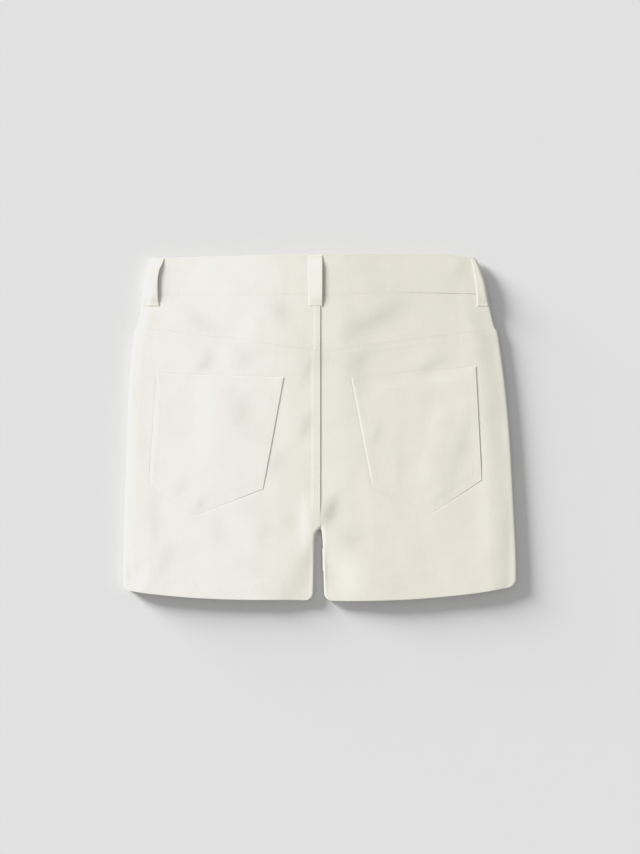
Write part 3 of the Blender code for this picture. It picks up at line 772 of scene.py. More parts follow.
def threads(name, shell, finish):
    """Every stitch of a piece's rows and bar tacks, in one object."""
    template, template_faces = capsule()
    draw = np.random.default_rng(len(name))
    rows = [(*seam, STITCH_PITCH, STITCH_LENGTH, 0.0) for seam in shell.seams]
    rows += [(*bar, BAR_PITCH, BAR_LENGTH, FLAT) for bar in shell.bars]
    shapes = []
    for spots, normals, pitch, length, turn in rows:
        run = np.concatenate([[0.0], np.cumsum(np.linalg.norm(np.diff(spots, axis=0), axis=1))])
        count = max(2, int(run[-1] / pitch))
        at = (np.arange(count) + 0.5) * run[-1] / count
        normal = unit(read(run, normals, at))
        ahead = unit(read(run, spots, at + pitch / 3) - read(run, spots, at - pitch / 3))
        beside = unit(np.cross(normal, ahead))
        lean = turn + draw.normal(0.0, STITCH_LEAN, (count, 1))
        ahead = ahead * np.cos(lean) + beside * np.sin(lean)
        beside = unit(np.cross(normal, ahead))
        middle = read(run, spots, at) + normal * (THREAD_HEIGHT / 2 - shell.sunk)
        axes = np.stack([ahead, beside, normal], axis=1)
        shape = template * (length, THREAD_WIDTH, THREAD_HEIGHT)
        shapes.append((middle[:, None] + shape @ axes).reshape(-1, 3))
    points = np.concatenate(shapes)
    starts = range(0, len(points), len(template))
    faces = [[start + corner for corner in face] for start in starts for face in template_faces]
    return add(name, points, faces, finish, np.pi)


# Cloth pieces


def inner_folds(seams, spacing):
    """As many distances in from a folded inner edge as there are from the seam above it."""
    extra = len(seams) - len(FOLD_STOPS)
    return [*FOLD_STOPS, *(FOLD_RADIUS + spacing * step for step in range(1, extra + 1))]


SIDE_COLUMNS = [*FOLD_STOPS, *stops(4.2 * MM, 27 * MM, 1.3 * MM)]
INNER_COLUMNS = [*EDGE_STOPS, 0.85 * MM, *stops(1.3 * MM, 13.2 * MM, 0.86 * MM)]
FRONT_SIDE_COLUMNS = SIDE_COLUMNS[: 2 * len(FOLD_STOPS)]
FRONT_INNER_COLUMNS = [*EDGE_STOPS, 0.85 * MM, *stops(1.5 * MM, 34 * MM, 2.2 * MM)]
YOKE_INNER_COLUMNS = from_edge(12 * MM, 1.0 * MM, YOKE_FELL_ROWS)
INNER_FOLDS = inner_folds(INNER_COLUMNS, 1.15 * MM)
FRONT_INNER_FOLDS = inner_folds(FRONT_INNER_COLUMNS, 1.9 * MM)

# How far in from a piece's edge its grid keeps its own distances
HEM_GRID = 24 * MM
TWIN_GRID = 11 * MM
YOKE_GRIDS = (6 * MM, 4 * MM)
FRONT_WAIST_GRID = 5 * MM
BAND_EDGE_GRID = 8 * MM
POCKET_HEM_GRID = 17 * MM

# About where the pieces begin and end, which sets how many rows and columns there are in between
HEM_Y, YOKE_Y, FRONT_WAIST_Y, BAND_Y, WAIST_Y = (y * MM for y in (-159, 76, 112, 121, 159))
HALF_WIDTHS = {"back": 174 * MM, "yoke": 167 * MM, "front": 172 * MM}
POCKET_DEPTH = 112 * MM


def center_round(inward, y):
    """The rounding of a panel's edge along the centre seam."""
    return rounded(inward - SEAM_GAP / 2, SEAM_ROUND) * ease(y - CROTCH[1], *SEAM_STARTS)


def hemmed(above):
    """How thick a leg's cloth is at a distance above the hem's edge."""
    return CLOTH + HEM_CLOTH * (1 - ease(above, HEM_ROW, HEM_ROW + GRID))


def pocket_lines(side):
    """A pocket's edges, the mouth last: where each starts, and its direction, with the cloth on its left."""
    corners = [np.array(corner) * MM for corner in POCKETS[side]]
    corners = corners if side == "left" else [corners[1], corners[0], *corners[:1:-1]]
    edges = list(zip(corners, corners[1:] + corners[:1]))
    return [(here, unit(there - here)) for here, there in edges[1:] + edges[:1]]


def pocket_distances(side, x, y):
    return [(y - here[1]) * way[0] - (x - here[0]) * way[1] for here, way in pocket_lines(side)]


def pressed(x, y):
    """The panels give way under the pockets."""
    inside = [np.min(pocket_distances(side, x, y), axis=0) for side in POCKETS]
    return POCKET_PRESSED * ease(np.max(inside, axis=0), *POCKET_PRESS_WIDTH)


def back_panel(side, finish):
    columns = across_half(side, SIDE_COLUMNS, INNER_FOLDS, INNER_COLUMNS, HALF_WIDTHS["back"], GRID)
    lower, upper = from_edge(HEM_GRID, GRID, [HEM_ROW]), from_edge(TWIN_GRID, GRID, TWIN_ROWS)
    rows = between(HEM_Y, YOKE_Y, GRID, lower, upper)
    x, y = spread(side, columns, rows, hem, lambda x: yoke_seam(x) - SEAM_GAP / 2)
    below, above, inward = yoke_seam(x) - y, y - hem(x), np.abs(x - CROTCH[0])
    face = lie(x, y) + yoke_strip(x, y) - pressed(x, y)
    for row in TWIN_ROWS:
        face = face + sewn(below - row) + gathers(x, below - row, YOKE_GATHER)
    face = face + sewn(above - HEM_ROW) + gathers(x + above * HEM_SLANT, above - HEM_ROW / 2, HEM_GATHER)
    face = face + fell_strip(x, y)
    if side == "left":
        for row in FELL_ROWS:
            face = face + (sewn(inward - row) + gathers(y, inward - row, FELL_GATHER)) * (y > CROTCH[1])
    drop = rounded(below - SEAM_GAP / 2, YOKE_ROUND[side]) + rounded(above, EDGE_ROUND)
    drop = drop + center_round(inward, y)
    z = turned(face, x, y, 1.0)
    shell = Shell(f"twill_back_{side}", tucked(x, y, side), y, z, hemmed(above), drop, finish, up=1.0)
    for row in TWIN_ROWS:
        shell.sew((index(rows, 1.0, -row), slice(2, -2)))
    shell.sew((index(rows, 0.0, HEM_ROW), slice(2, -2)))
    if side == "left":
        start = int(np.argmax(y[:, -1] > CROTCH[1] + SEAM_STARTS[1]))
        for row in FELL_ROWS:
            shell.sew((slice(start, None), index(columns, 1.0, -row)))
    return shell


def under_band(x):
    return band_seam(x) - SEAM_GAP


def yoke(side, finish):
    inner = YOKE_INNER_COLUMNS
    columns = across_half(side, SIDE_COLUMNS, inner, inner, HALF_WIDTHS["yoke"], GRID)
    rows = between(YOKE_Y, BAND_Y, GRID, *(from_edge(end, GRID) for end in YOKE_GRIDS))
    x, y = spread(side, columns, rows, lambda x: yoke_seam(x) + SEAM_GAP / 2, under_band)
    inward = np.abs(x - CROTCH[0])
    face = lie(x, y) + fell_strip(x, y)
    if side == "left":
        for row in YOKE_FELL_ROWS:
            face = face + sewn(inward - row)
    drop = rounded(y - yoke_seam(x) - SEAM_GAP / 2, SEAM_ROUND) + rounded(under_band(x) - y, SEAM_ROUND)
    drop = drop + center_round(inward, y)
    shell = Shell(f"twill_yoke_{side}", tucked(x, y, side), y, turned(face, x, y, 1.0), CLOTH, drop, finish)
    if side == "left":
        for row in YOKE_FELL_ROWS:
            shell.sew((slice(None), index(columns, 1.0, -row)))
    return shell


def front_panel(side, finish):
    inner = FRONT_INNER_FOLDS, FRONT_INNER_COLUMNS
    columns = across_half(side, FRONT_SIDE_COLUMNS, *inner, HALF_WIDTHS["front"], FRONT_GRID)[::-1]
    lower, upper = from_edge(HEM_GRID, FRONT_GRID, [HEM_ROW]), from_edge(FRONT_WAIST_GRID, GRID)
    rows = between(HEM_Y, FRONT_WAIST_Y, FRONT_GRID, lower, upper)
    x, y = spread(side, columns, rows, hem, lambda x: front_seam(x) - SEAM_GAP, front_inner_edge)
    above, inward = y - hem(x), np.abs(x - front_inner_edge(side, y))
    face = front_face(x, y) - sewn(above - HEM_ROW)
    if side == "right":
        over = LAP_LEVEL * (1 - ease(x, *LAP_SLOPE))
        face = face + over * (1 - ease(FLY_END - y, *LAP_START))
    drop = rounded(front_seam(x) - SEAM_GAP - y, SEAM_ROUND) + rounded(above, EDGE_ROUND)
    drop = drop + center_round(inward, y)
    z = turned(face, x, y, -1.0)
    name = f"twill_front_{side}"
    shell = Shell(name, tucked(x, y, side), y, z, hemmed(above), drop, finish, THREAD_SUNK_BELOW, -1.0)
    shell.sew((index(rows, 0.0, HEM_ROW), slice(3, -3)))
    if side == "left":
        reached = [int(np.argmax(y[:, 0] > level)) for level in (CROTCH[1] + SEAM_STARTS[1], FLY_END)]
        shell.sew((slice(*reached), index(columns, 1.0, -EDGE_ROW)))
        top = float(front_seam(np.float64(FLY_ROWS[0])))
        bend = np.linspace(0.0, FLAT, FLY_ROW_SPOTS[1])
        for start in FLY_ROWS:
            height = (FLY_ROW_TURN - FLY_END) * start / FLY_ROWS[0]
            levels = np.linspace(top - EDGE_ROW, FLY_ROW_TURN, FLY_ROW_SPOTS[0])
            down = [(start, level) for level in levels]
            curve = [(start * np.cos(turn), FLY_ROW_TURN - height * np.sin(turn)) for turn in bend[1:]]
            shell.seams.append(shell.over(np.array(down + curve)))
    return shell


def at_front(x, lap=0.0):
    """A column of the front waistband, at a place across the garment that is given at mid-height."""
    left, right = (side_edge(side, BAND_MIDDLE) for side in ("left", "right"))
    return BandColumn((x - left) / (right - left), 0.0, -FLAT, lap)


def band_columns():
    """Once round the waist: from the lap's edge by way of the left fold, the back and the right fold."""
    left, right = (side_edge(side, BAND_MIDDLE) for side in ("left", "right"))
    width = right - left
    reach = LAP_EDGE - left - BAND_TURN_END
    upper = [at_front(LAP_EDGE - place) for place in from_edge(reach, FRONT_GRID, [EDGE_ROW])]
    turns = np.radians(np.linspace(-90, 90, BAND_TURN_COLUMNS))
    fold = [BandColumn(0.0, BAND_TURN * (1 - np.cos(turn)), turn, 0.0) for turn in turns]
    places = stops(BAND_TURN_END, width - BAND_TURN_END, BAND_GRID)
    back = [BandColumn(place / width, 0.0, FLAT, 0.0) for place in places]
    far = [BandColumn(1.0, -column.offset, -column.turn, 0.0) for column in fold]
    lower = stops(UNDERLAP_EDGE + FRONT_GRID, right - BAND_TURN_END, FRONT_GRID)[::-1]
    lower = [at_front(x, float(1 - ease(x, *UNDERLAP_STARTS))) for x in lower]
    end = [at_front(UNDERLAP_EDGE + place, 1.0) for place in (BAND_END_STOP, *EDGE_STOPS[::-1])]
    return upper + fold + back + far + lower + end


def band_proud(x):
    return BAND_PROUD[0] + (BAND_PROUD[1] - BAND_PROUD[0]) * ease(x, *BAND_PROUD_RISES)


def waistband(finish):
    columns = band_columns()
    edge = from_edge(BAND_EDGE_GRID, BAND_GRID, [EDGE_ROW])
    rows = between(BAND_Y, WAIST_Y, BAND_GRID, edge, edge)
    column, row = cross(columns, rows)
    x = np.zeros((len(rows), len(columns)))
    front = np.clip(-column.turn / FLAT, 0.0, 1.0)
    for _ in range(PASSES):
        dip = front_dip(x) * front
        y = band_seam(x) * (1 - row.share) + waist_edge(x) * row.share + row.offset - dip
        x = side_edge("left", y) * (1 - column.share) + side_edge("right", y) * column.share
        x = x + column.offset
    fold = along(FOLD_LEVELS.y, FOLD_LEVELS.side, y)
    above, below = y + dip - band_seam(x), waist_edge(x) - y - dip
    over = lie(x, y) + band_proud(x)
    furrows = sewn(above - EDGE_ROW) + sewn(below - EDGE_ROW)
    furrows = furrows + gathers(x, above - EDGE_ROW, BAND_GATHER) + gathers(x, below - EDGE_ROW, WAIST_GATHER)
    under = WAIST_RISE + lift(x, y + dip, BUTTON_LIFT, BUTTON_LIFT_REACH) - FRONT_BAND_PROUD
    under = under + column.lap * (BAND_CLOTH + LAYER_GAP)
    turn = np.sin(column.turn)
    z = fold + np.where(turn > 0, (over + furrows - fold) * turn, (fold - under + furrows) * turn)
    steps = np.linalg.norm(np.diff(np.stack([x, y, z], axis=-1), axis=1), axis=-1)
    run = np.concatenate([np.zeros((len(rows), 1)), np.cumsum(steps, axis=1)], axis=1)
    drop = rounded(above, SEAM_ROUND) + rounded(below, WAIST_ROUND)
    drop = drop + rounded(run, EDGE_ROUND) + rounded(run[:, -1:] - run, EDGE_ROUND)
    shell = Shell("twill_waistband", x, y, z, BAND_CLOTH, drop, finish)
    low, high = index(rows, 0.0, EDGE_ROW), index(rows, 1.0, -EDGE_ROW)
    end = int(np.argmin(np.abs(run[0] - EDGE_ROW)))
    shell.sew((low, slice(end, -end)))
    shell.sew((high, slice(end, -end)))
    shell.sew((slice(low, high), end))
    ends = (LAP_EDGE - BUTTON_X + reach for reach in (-BUTTON_HOLE, BUTTON_HOLE))
    hole = [int(np.argmin(np.abs(run[low] - end))) for end in ends]
    middle = int(np.argmin(np.abs(above[:, 0] - BUTTON_UP)))
    for at in (middle - 1, middle + 1):
        shell.bars.append(shell.leg(at, slice(*hole)))
    return shell


def loop_columns():
    inner = [place * MM for place in LOOP_STOPS]
    near = [Column(place / LOOP_WIDTH) for place in (*EDGE_STOPS, *inner)]
    return near + [column._replace(share=1 - column.share) for column in near[::-1]]


def loop_rows():
    return [Row(step / LOOP_ROWS) for step in range(LOOP_ROWS + 1)]


def loop_height(share, proud):
    """How far a loop's outer face stands over the waistband: it is sewn down at both ends."""
    sewn_down = LOOP_SEWN * (1 - ease(np.minimum(share, 1 - share), 0.0, LOOP_SEWN_SHARE))
    return (proud + LOOP_STAND_OFF * np.abs(np.sin(np.pi * share)) ** LOOP_BOW) * (1 - sewn_down)


def loop_shell(name, x, y, z, column, row, finish, sunk=THREAD_SUNK):
    """Rounded long edges with a stitch row beside each, and both ends turned under and tacked."""
    across = np.minimum(column.share, 1 - column.share) * LOOP_WIDTH
    ends = np.minimum(row.share, 1 - row.share) * LOOP_ROWS * LOOP_STEP
    drop = rounded(across, EDGE_ROUND) + rounded(ends, EDGE_ROUND) - sewn(across - EDGE_ROW)
    shell = Shell(name, x, y, z, LOOP_CLOTH, drop, finish, sunk)
    for target in (EDGE_ROW, LOOP_WIDTH - EDGE_ROW):
        shell.sew((slice(1, -1), int(np.argmin(np.abs(column.share[0] * LOOP_WIDTH - target)))))
    for end in (2, -3):
        shell.bars.append(shell.leg(end, slice(5, -5)))
    return shell


def center_loop(finish):
    column, row = cross(loop_columns(), loop_rows())
    y = LOOP_END + (LOOP_TOPS["center"] - LOOP_END) * row.share + 0 * column.share
    x = CENTER_LOOP_X + LOOP_WIDTH * (column.share - 0.5) + 0 * y
    proud = LOOP_PROUD[0] + (LOOP_PROUD[1] - LOOP_PROUD[0]) * column.share
    z = lie(x, y) + band_proud(x) + loop_height(row.share, proud)
    return loop_shell("twill_loop_back_center", x, y, z, column, row, finish)


def side_loop(side, finish):
    """The loop lies over the waistband and turns over its folded edge."""
    columns = loop_columns()
    column, row = cross(columns[::-1] if side == "left" else columns, loop_rows())
    y = LOOP_END + (LOOP_TOPS[side] - LOOP_END) * row.share + 0 * column.share
    toward = toward_middle(side)
    edge = side_edge(side, y)
    reach = toward * (along(LOOP_EDGES.y, getattr(LOOP_EDGES, side), y) - edge)
    flat = reach + (FOLD_RADIUS - reach) * np.clip(2 * column.share, 0.0, 1.0)
    turn = FLAT + (LOOP_TURNS[side] - FLAT) * np.clip(2 * column.share - 1, 0.0, 1.0)
    away = loop_height(row.share, SIDE_LOOP_PROUD[side])
    inward = flat - (FOLD_RADIUS + away) * np.cos(turn)
    fold = along(FOLD_LEVELS.y, FOLD_LEVELS.side, y)
    face = lie(edge + toward * flat, y) + band_proud(edge)
    x, z = edge + toward * inward, fold + (face - fold + away) * np.sin(turn)
    return loop_shell(f"twill_loop_back_{side}", x, y, z, column, row, finish)


def front_loop(side, finish):
    """The loop lies flat on the surface, under the waistband."""
    column, row = cross(loop_columns()[::-1], loop_rows())
    x = FRONT_LOOPS[side] + LOOP_WIDTH * (column.share - 0.5) + 0 * row.share
    end = front_seam(x) - FRONT_LOOP_END
    top = waist_edge(x) - front_dip(x) - FRONT_LOOP_TOP
    y = end + (top - end) * row.share
    name = f"twill_loop_front_{side}"
    return loop_shell(name, x, y, np.zeros_like(x), column, row, finish, THREAD_SUNK_BELOW)


def meet(here, way, there, other):
    """Where two lines cross."""
    gap = there - here
    return here + way * (gap[0] * other[1] - gap[1] * other[0]) / (way[0] * other[1] - way[1] * other[0])


def pocket_grid(side, edge, rows):
    """Where a pocket's columns and rows cross, and its mouth: the columns rise from the two bottom edges."""
    left, low_left, low_right, right, mouth = pocket_lines(side)
    tip = low_right[0]
    bottoms, tops = [], []
    for (here, way), low in ((left, low_left), (right, low_right)):
        inward = np.array((-way[1], way[0]))
        bottoms.append([meet(here + inward * place, way, *low) for place in edge])
        tops.append([meet(here + inward * place, way, *mouth) for place in edge])
    to_tip, from_tip = np.hypot(*(tip - bottoms[0][-1])), np.hypot(*(bottoms[1][-1] - tip))
    at_tip = to_tip / (to_tip + from_tip)
    count = int((to_tip + from_tip) / GRID)
    shares = sorted({*(step / count for step in range(1, count)), at_tip})
    across = np.array(shares)[:, None]
    first = bottoms[0][-1] + (tip - bottoms[0][-1]) * across / at_tip
    second = tip + (bottoms[1][-1] - tip) * (across - at_tip) / (1 - at_tip)
    bottom = np.concatenate([bottoms[0], np.where(across < at_tip, first, second), bottoms[1][::-1]])
    top = np.concatenate([tops[0], tops[0][-1] + (tops[1][-1] - tops[0][-1]) * across, tops[1][::-1]])
    share, offset = (np.array(values)[:, None, None] for values in zip(*rows))
    lean = [low_left[1] if x < tip[0] else low_right[1] for x in bottom[:, 0]]
    run = unit(top - bottom)
    slant = np.array([[way[0] * up[1] - way[1] * up[0]] for way, up in zip(lean, run)])
    spots = bottom + (top - bottom) * share + run * offset * (share + (1 - share) / slant)
    return spots[..., 0], spots[..., 1], top


def pocket_proud(side, distances):
    """How far a pocket stands over the panel, apart from its mouth."""
    across = np.clip(distances[0] / (distances[0] + distances[3]), 0.0, 1.0)
    upper, foot = POCKET_PROUD[side], POCKET_FOOT_PROUD[side]
    proud = upper[0] + (upper[1] - upper[0]) * across
    sewn_down = foot[0] + (foot[1] - foot[0]) * ease(across, *POCKET_FOOT_RISES)
    at_foot = 1 - ease(np.minimum(distances[1], distances[2]), 0.0, POCKET_FOOT)
    proud = proud + (sewn_down - proud) * at_foot
    return proud * ease(distances[0], -POCKET_RAMP_START * POCKET_RAMPS[side], POCKET_RAMPS[side])


def pocket(side, finish):
    """A patch with a slanted point and a hemmed mouth, sewn down with two rows and two bar tacks."""
    edge = from_edge(TWIN_GRID, BAND_GRID, TWIN_ROWS)
    mouth_edge = from_edge(POCKET_HEM_GRID, BAND_GRID, [POCKET_HEM_ROW])
    rows = between(0.0, POCKET_DEPTH, GRID, edge, mouth_edge)
    x, y, top = pocket_grid(side, edge, rows)
    distances = pocket_distances(side, x, y)
    around, opening = np.min(distances[:-1], axis=0), distances[-1]
    proud = pocket_proud(side, distances)
    at_mouth = (1 - ease(opening, 0.0, POCKET_MOUTH_REACH)) * ease(around, 0.0, POCKET_HEM_ROW)
    face = lie(x, y) + yoke_strip(x, y) + proud - (proud - POCKET_MOUTH_PROUD) * at_mouth
    for place in TWIN_ROWS:
        face = face + sewn(around - place)
    face = face + sewn(opening - POCKET_HEM_ROW) + gathers(x + y, around - TWIN_ROWS[0], POCKET_GATHER)
    drop = rounded(np.min(distances[1:-1], axis=0), EDGE_ROUND)
    drop = np.maximum(drop, rounded(distances[0], POCKET_SOFT_ROUND))
    drop = np.maximum(drop, rounded(opening, POCKET_MOUTH_ROUND[side]))
    shell = Shell(f"twill_back_pocket_{side}", x, y, face, POCKET_CLOTH, drop, finish)
    last = index(rows, 1.0, -EDGE_ROW)
    for place in TWIN_ROWS:
        at = int(np.argmin(np.abs(np.array(edge) - place)))
        shell.sew((slice(last, at, -1), at), (at, slice(at, -at - 1)), (slice(at, last), -at - 1))
    shell.sew((index(rows, 1.0, -POCKET_HEM_ROW), slice(2, -2)))
    for corner, way in ((top[0], 1.0), (top[-1], -1.0)):
        (start_x, start_y), (end_x, end_y) = POCKET_TACK
        steps = np.linspace((way * start_x, start_y), (way * end_x, end_y), POCKET_TACK_SPOTS)
        shell.bars.append(shell.over(corner + steps))
    return shell


def button(finish):
    """A turned waist button under the lapped ends, its face on the surface."""
    bm = bmesh.new()
    points = [bm.verts.new((out * BUTTON_RADIUS, 0.0, up * BUTTON_HEIGHT)) for out, up in BUTTON_PROFILE]
    edges = [bm.edges.new(pair) for pair in zip(points, points[1:])]
    bmesh.ops.spin(
        bm, geom=points + edges, axis=(0, 0, 1), cent=(0, 0, 0), angle=2 * np.pi, steps=BUTTON_STEPS
    )
    bmesh.ops.remove_doubles(bm, verts=bm.verts, dist=BUTTON_MERGE)
    bmesh.ops.recalc_face_normals(bm, faces=bm.faces)
    place = np.array((BUTTON_X, float(front_seam(np.float64(BUTTON_X))) + BUTTON_UP, 0.0))
    bm.verts.index_update()
    points = [np.array(vertex.co) + place for vertex in bm.verts]
    faces = [[vertex.index for vertex in face.verts] for face in bm.faces]
    bm.free()
    return add("waist_button", points, faces, finish)


# Finishes


def pick(sockets, name):
    """The socket in use with this name or number."""
    used = [socket for socket in sockets if socket.enabled]
    return used[name] if isinstance(name, int) else next(socket for socket in used if socket.name == name)


class Wire:
    """A shader value: arithmetic on it adds Math nodes."""

    def __init__(self, shader, socket):
        self.shader, self.socket = shader, socket

    def math(self, operation, *values):
        return self.shader.node("ShaderNodeMath", {"operation": operation}, dict(enumerate(values)))

    def __add__(self, other):
        return self.math("ADD", self, other)

    def __sub__(self, other):
        return self.math("SUBTRACT", self, other)

    def __rsub__(self, other):
        return self.math("SUBTRACT", other, self)

    def __mul__(self, other):
        return self.math("MULTIPLY", self, other)

    def __truediv__(self, other):
        return self.math("DIVIDE", self, other)

    __radd__, __rmul__ = __add__, __mul__

    def wave(self):
        """Between 0 and 1, with a period of 1."""
        return self.math("SINE", self * (2 * np.pi)) * 0.5 + 0.5


class Shader:
    """A material's nodes, all added in one way."""

    def __init__(self, name):
        self.material = bpy.data.materials.new(name)
        self.material.use_nodes = True
        self.tree = self.material.node_tree
        self.surface = self.tree.nodes["Principled BSDF"]
        self.place = self.node("ShaderNodeTexCoord", output="Object")
        self.x, self.y = (self.node("ShaderNodeSeparateXYZ", {}, {0: self.place}, axis) for axis in "XY")

    def node(self, kind, settings=None, values=None, output=0):
        made = self.tree.nodes.new(kind)
        for name, value in (settings or {}).items():
            setattr(made, name, value)
        for name, value in (values or {}).items():
            self.plug(pick(made.inputs, name), value)
        return Wire(self, pick(made.outputs, output))

    def plug(self, socket, value):
        if isinstance(value, Wire):
            self.tree.links.new(value.socket, socket)
        else:
            socket.default_value = value

    def vector(self, operation, first, second):
        return self.node("ShaderNodeVectorMath", {"operation": operation}, {0: first, 1: second})

    def noise(self, scale, detail, shift=(0.0, 0.0, 0.0), stretch=(1.0, 1.0, 1.0)):
        place = self.vector("MULTIPLY", self.vector("ADD", self.place, shift), stretch)
        return self.node("ShaderNodeTexNoise", {}, {"Vector": place, "Scale": scale, "Detail": detail})

    def blend(self, share, first, second):
        return self.node("ShaderNodeMix", {"data_type": "VECTOR"}, {"Factor": share, "A": first, "B": second})

    def shaded(self, colour, shade):
        grey = self.node("ShaderNodeCombineXYZ", {}, {0: shade, 1: shade, 2: shade})
        return self.vector("MULTIPLY", colour, grey)

    def finished(self, constants, colour, roughness, relief, distance):
        for name, value in constants.items():
            self.surface.inputs[name].default_value = value
        self.plug(self.surface.inputs["Base Color"], colour)
        self.plug(self.surface.inputs["Roughness"], roughness)
        bump = self.node("ShaderNodeBump", {}, {"Height": relief, "Distance": distance})
        self.plug(self.surface.inputs["Normal"], bump)
        return self.material


# Painted shade: the cloth's colour goes from a lit tone on the left to a darker, yellower shaded tone on the
# right, across this span of X in metres
LIT_LEFT_TINT = (0.830, 0.805, 0.747)
SHADED_RIGHT_TINT = (0.744, 0.724, 0.634)
PAINTED_SHADE_SPAN = (-0.11, 0.05)
WARP_PITCH = 0.26 * MM
WEFT_PITCH = 0.42 * MM
TWIST_PITCH = 0.4 * MM
METAL_TINTS = ((0.50, 0.48, 0.45), (0.70, 0.68, 0.64))
PAPER_TINTS = ((0.789, 0.789, 0.789), (0.795, 0.795, 0.795))
RELIEF = {"twill": 0.08 * MM, "thread": 0.04 * MM, "metal": 0.02 * MM, "paper": 0.01 * MM}  # its depth


def painted_shade_across(shader):
    """Painted shade: the cloth's colour grows darker and yellower towards the right, where less light falls.
    """
    values = {"Value": shader.x, "From Min": PAINTED_SHADE_SPAN[0], "From Max": PAINTED_SHADE_SPAN[1]}
    share = shader.node("ShaderNodeMapRange", {"interpolation_type": "SMOOTHSTEP"}, values)
    return shader.blend(share, LIT_LEFT_TINT, SHADED_RIGHT_TINT)


def twill(name, lean=0.0, shift=(0.0, 0.0, 0.0)):
    """Three-up one-down twill: steep ribs of warp, crossed by slanting wales. Washed, so it is uneven."""
    shader = Shader(name)
    across = (shader.x + shader.y * lean) / WARP_PITCH
    up = (shader.y - shader.x * lean) / WEFT_PITCH
    wale = ((across - up) * 0.25 + shader.noise(700.0, 1.0, shift) * 0.3).wave()
    relief = wale * (across.wave() * 0.45 + 0.55) + (1.0 - wale) * up.wave() * 0.4
    slub = shader.noise(1.0, 1.0, shift, (900.0, 60.0, 60.0))
    cloud = shader.noise(30.0, 3.0, shift)
    # The weave's hollows are painted darker as shade (the relief term); cloud and slub vary the tone at
    # random
    shade = relief * 0.06 + 0.97 + (cloud - 0.5) * 0.05 + (slub - 0.5) * 0.05
    colour = shader.shaded(painted_shade_across(shader), shade)
    constants = {"Sheen Weight": 0.1, "Specular IOR Level": 0.2}
    return shader.finished(constants, colour, 0.86 - relief * 0.08, relief + slub * 0.3, RELIEF["twill"])


def sewing_thread(name):
    """Twisted thread in the tone of the cloth, with the cloth's painted shade towards the right."""
    shader = Shader(name)
    twist = ((shader.x + shader.y * 0.8) / TWIST_PITCH).wave()
    fluff = shader.noise(2500.0, 2.0)
    # The twist's grooves are painted darker as shade; the fluff varies the tone at random
    colour = shader.shaded(painted_shade_across(shader), twist * 0.06 + 0.97 + (fluff - 0.5) * 0.06)
    constants = {"Sheen Weight": 0.1, "Specular IOR Level": 0.3}
    return shader.finished(constants, colour, 0.65 - twist * 0.1, twist, RELIEF["thread"])


def turned_metal(name):
    shader = Shader(name)
    worn = shader.noise(700.0, 4.0)
    tint = shader.blend(worn, *METAL_TINTS)
    return shader.finished({"Metallic": 1.0}, tint, worn * 0.2 + 0.28, worn, RELIEF["metal"])


def floor_paper(name):
    shader = Shader(name)
    grain = shader.noise(60.0, 3.0)
    tint = shader.blend(grain, *PAPER_TINTS)
    return shader.finished({"Specular IOR Level": 0.1}, tint, 0.9 - grain * 0.02, grain, RELIEF["paper"])


# Room


def camera():
    made = bpy.data.cameras.new("camera")
    made.sensor_fit = "HORIZONTAL"
    made.sensor_width = SENSOR_WIDTH
    made.lens = SENSOR_WIDTH * CAMERA_HEIGHT / (PICTURE_WIDTH_PX * PIXEL)
    placed = bpy.data.objects.new("camera", made)
    placed.location = (0.0, 0.0, CAMERA_HEIGHT)
    bpy.context.scene.collection.objects.link(placed)
    bpy.context.scene.camera = placed


UPPER = ("back", "yoke", "back_pocket", "loop_back", "waistband")  # the pieces that the cloth's lamp lights


def light(lit, azimuth, elevation, angle, strength):
    """A lamp that lights these pieces, and that all of them shade."""
    lamp = bpy.data.lights.new("lamp", "SUN")
    lamp.energy = strength
    lamp.angle = np.radians(angle)
    placed = bpy.data.objects.new("lamp", lamp)
    azimuth, elevation = np.radians((azimuth, elevation))
    flat = np.cos(elevation)
    toward = Vector((flat * np.cos(azimuth), flat * np.sin(azimuth), np.sin(elevation)))
    placed.rotation_euler = toward.to_track_quat("Z", "Y").to_euler()
    bpy.context.scene.collection.objects.link(placed)
    receivers = bpy.data.collections.new("lit")
    for piece in lit:
        receivers.objects.link(piece)
    placed.light_linking.receiver_collection = receivers


def room():
    world = bpy.data.worlds.new("room")
    world.use_nodes = True
    background = world.node_tree.nodes["Background"]
    background.inputs["Color"].default_value = (1.0, 1.0, 1.0, 1.0)
    background.inputs["Strength"].default_value = ROOM_STRENGTH
    bpy.context.scene.world = world
    view = bpy.context.scene.view_settings
    view.view_transform = "Standard"
    view.use_curve_mapping = True
    view.curve_mapping.use_clip = False
    view.curve_mapping.extend = "HORIZONTAL"
    points = view.curve_mapping.curves[3].points
    points[0].location, points[1].location = SHOULDER[0], SHOULDER[-1]
    for place, shown in SHOULDER[1:-1]:
        points.new(place, shown)
    for point in points:
        point.handle_type = "VECTOR"
    view.curve_mapping.update()


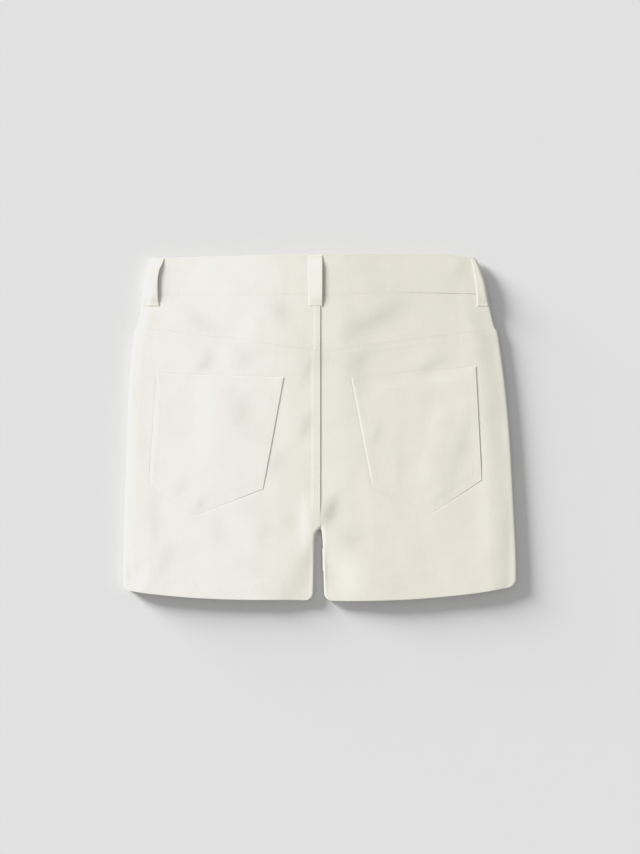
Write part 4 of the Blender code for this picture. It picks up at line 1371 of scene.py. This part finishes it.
def floor():
    bm = bmesh.new()
    bmesh.ops.create_grid(bm, x_segments=FLOOR_SQUARES, y_segments=FLOOR_SQUARES, size=FLOOR_SIZE)
    points = [(vertex.co.x, vertex.co.y, FLOOR_LEVEL) for vertex in bm.verts]
    faces = [[vertex.index for vertex in face.verts] for face in bm.faces]
    bm.free()
    return add("floor", points, faces, floor_paper("floor_paper"))


# Fields for the size that a piece of cloth has when it is laid flat, in metres, and its area in that; no
# piece is given one here
Flat = namedtuple("Flat", "width length area", defaults=(None,))

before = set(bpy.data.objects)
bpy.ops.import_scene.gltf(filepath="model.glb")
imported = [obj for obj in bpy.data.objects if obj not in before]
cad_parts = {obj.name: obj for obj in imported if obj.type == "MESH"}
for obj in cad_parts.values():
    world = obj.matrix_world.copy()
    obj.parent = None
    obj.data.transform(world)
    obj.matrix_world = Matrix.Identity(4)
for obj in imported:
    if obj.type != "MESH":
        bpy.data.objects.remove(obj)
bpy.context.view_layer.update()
camera()
room()
ground = floor()

cloths = {
    "left": twill("ivory_twill_left", 0.01),
    "right": twill("ivory_twill_right", -0.012, (0.3, 0.1, 0.0)),
    "band": twill("ivory_twill_band", 0.0, (0.1, 0.7, 0.0)),
}
thread = sewing_thread("ivory_thread")

upper = []
shells = {}
for side in ("left", "right"):
    shells["back", side] = back_panel(side, cloths[side])
    shells["yoke", side] = yoke(side, cloths[side])
    shells["front", side] = front_panel(side, cloths[side])
    shells["back_pocket", side] = pocket(side, cloths[side])
    shells["loop_back", side] = side_loop(side, cloths["band"])
    shells["loop_front", side] = front_loop(side, cloths["band"])
shells["loop_back", "center"] = center_loop(cloths["band"])
shells["waistband", ""] = waistband(cloths["band"])

for (kind, place), shell in shells.items():
    node = f"{kind}_{place}".rstrip("_")
    stitching = [threads(f"stitches_{node}", shell, thread)] if shell.seams else []
    upper += [shell.piece, *stitching] if kind in UPPER else []
    for piece in (shell.piece, *stitching):
        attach(piece, "root")
    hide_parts(node)

waist_button = button(turned_metal("turned_metal"))
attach(waist_button, "root")
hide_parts("button")
light([ground], *LAMPS["floor"])
light(upper, *LAMPS["cloth"])
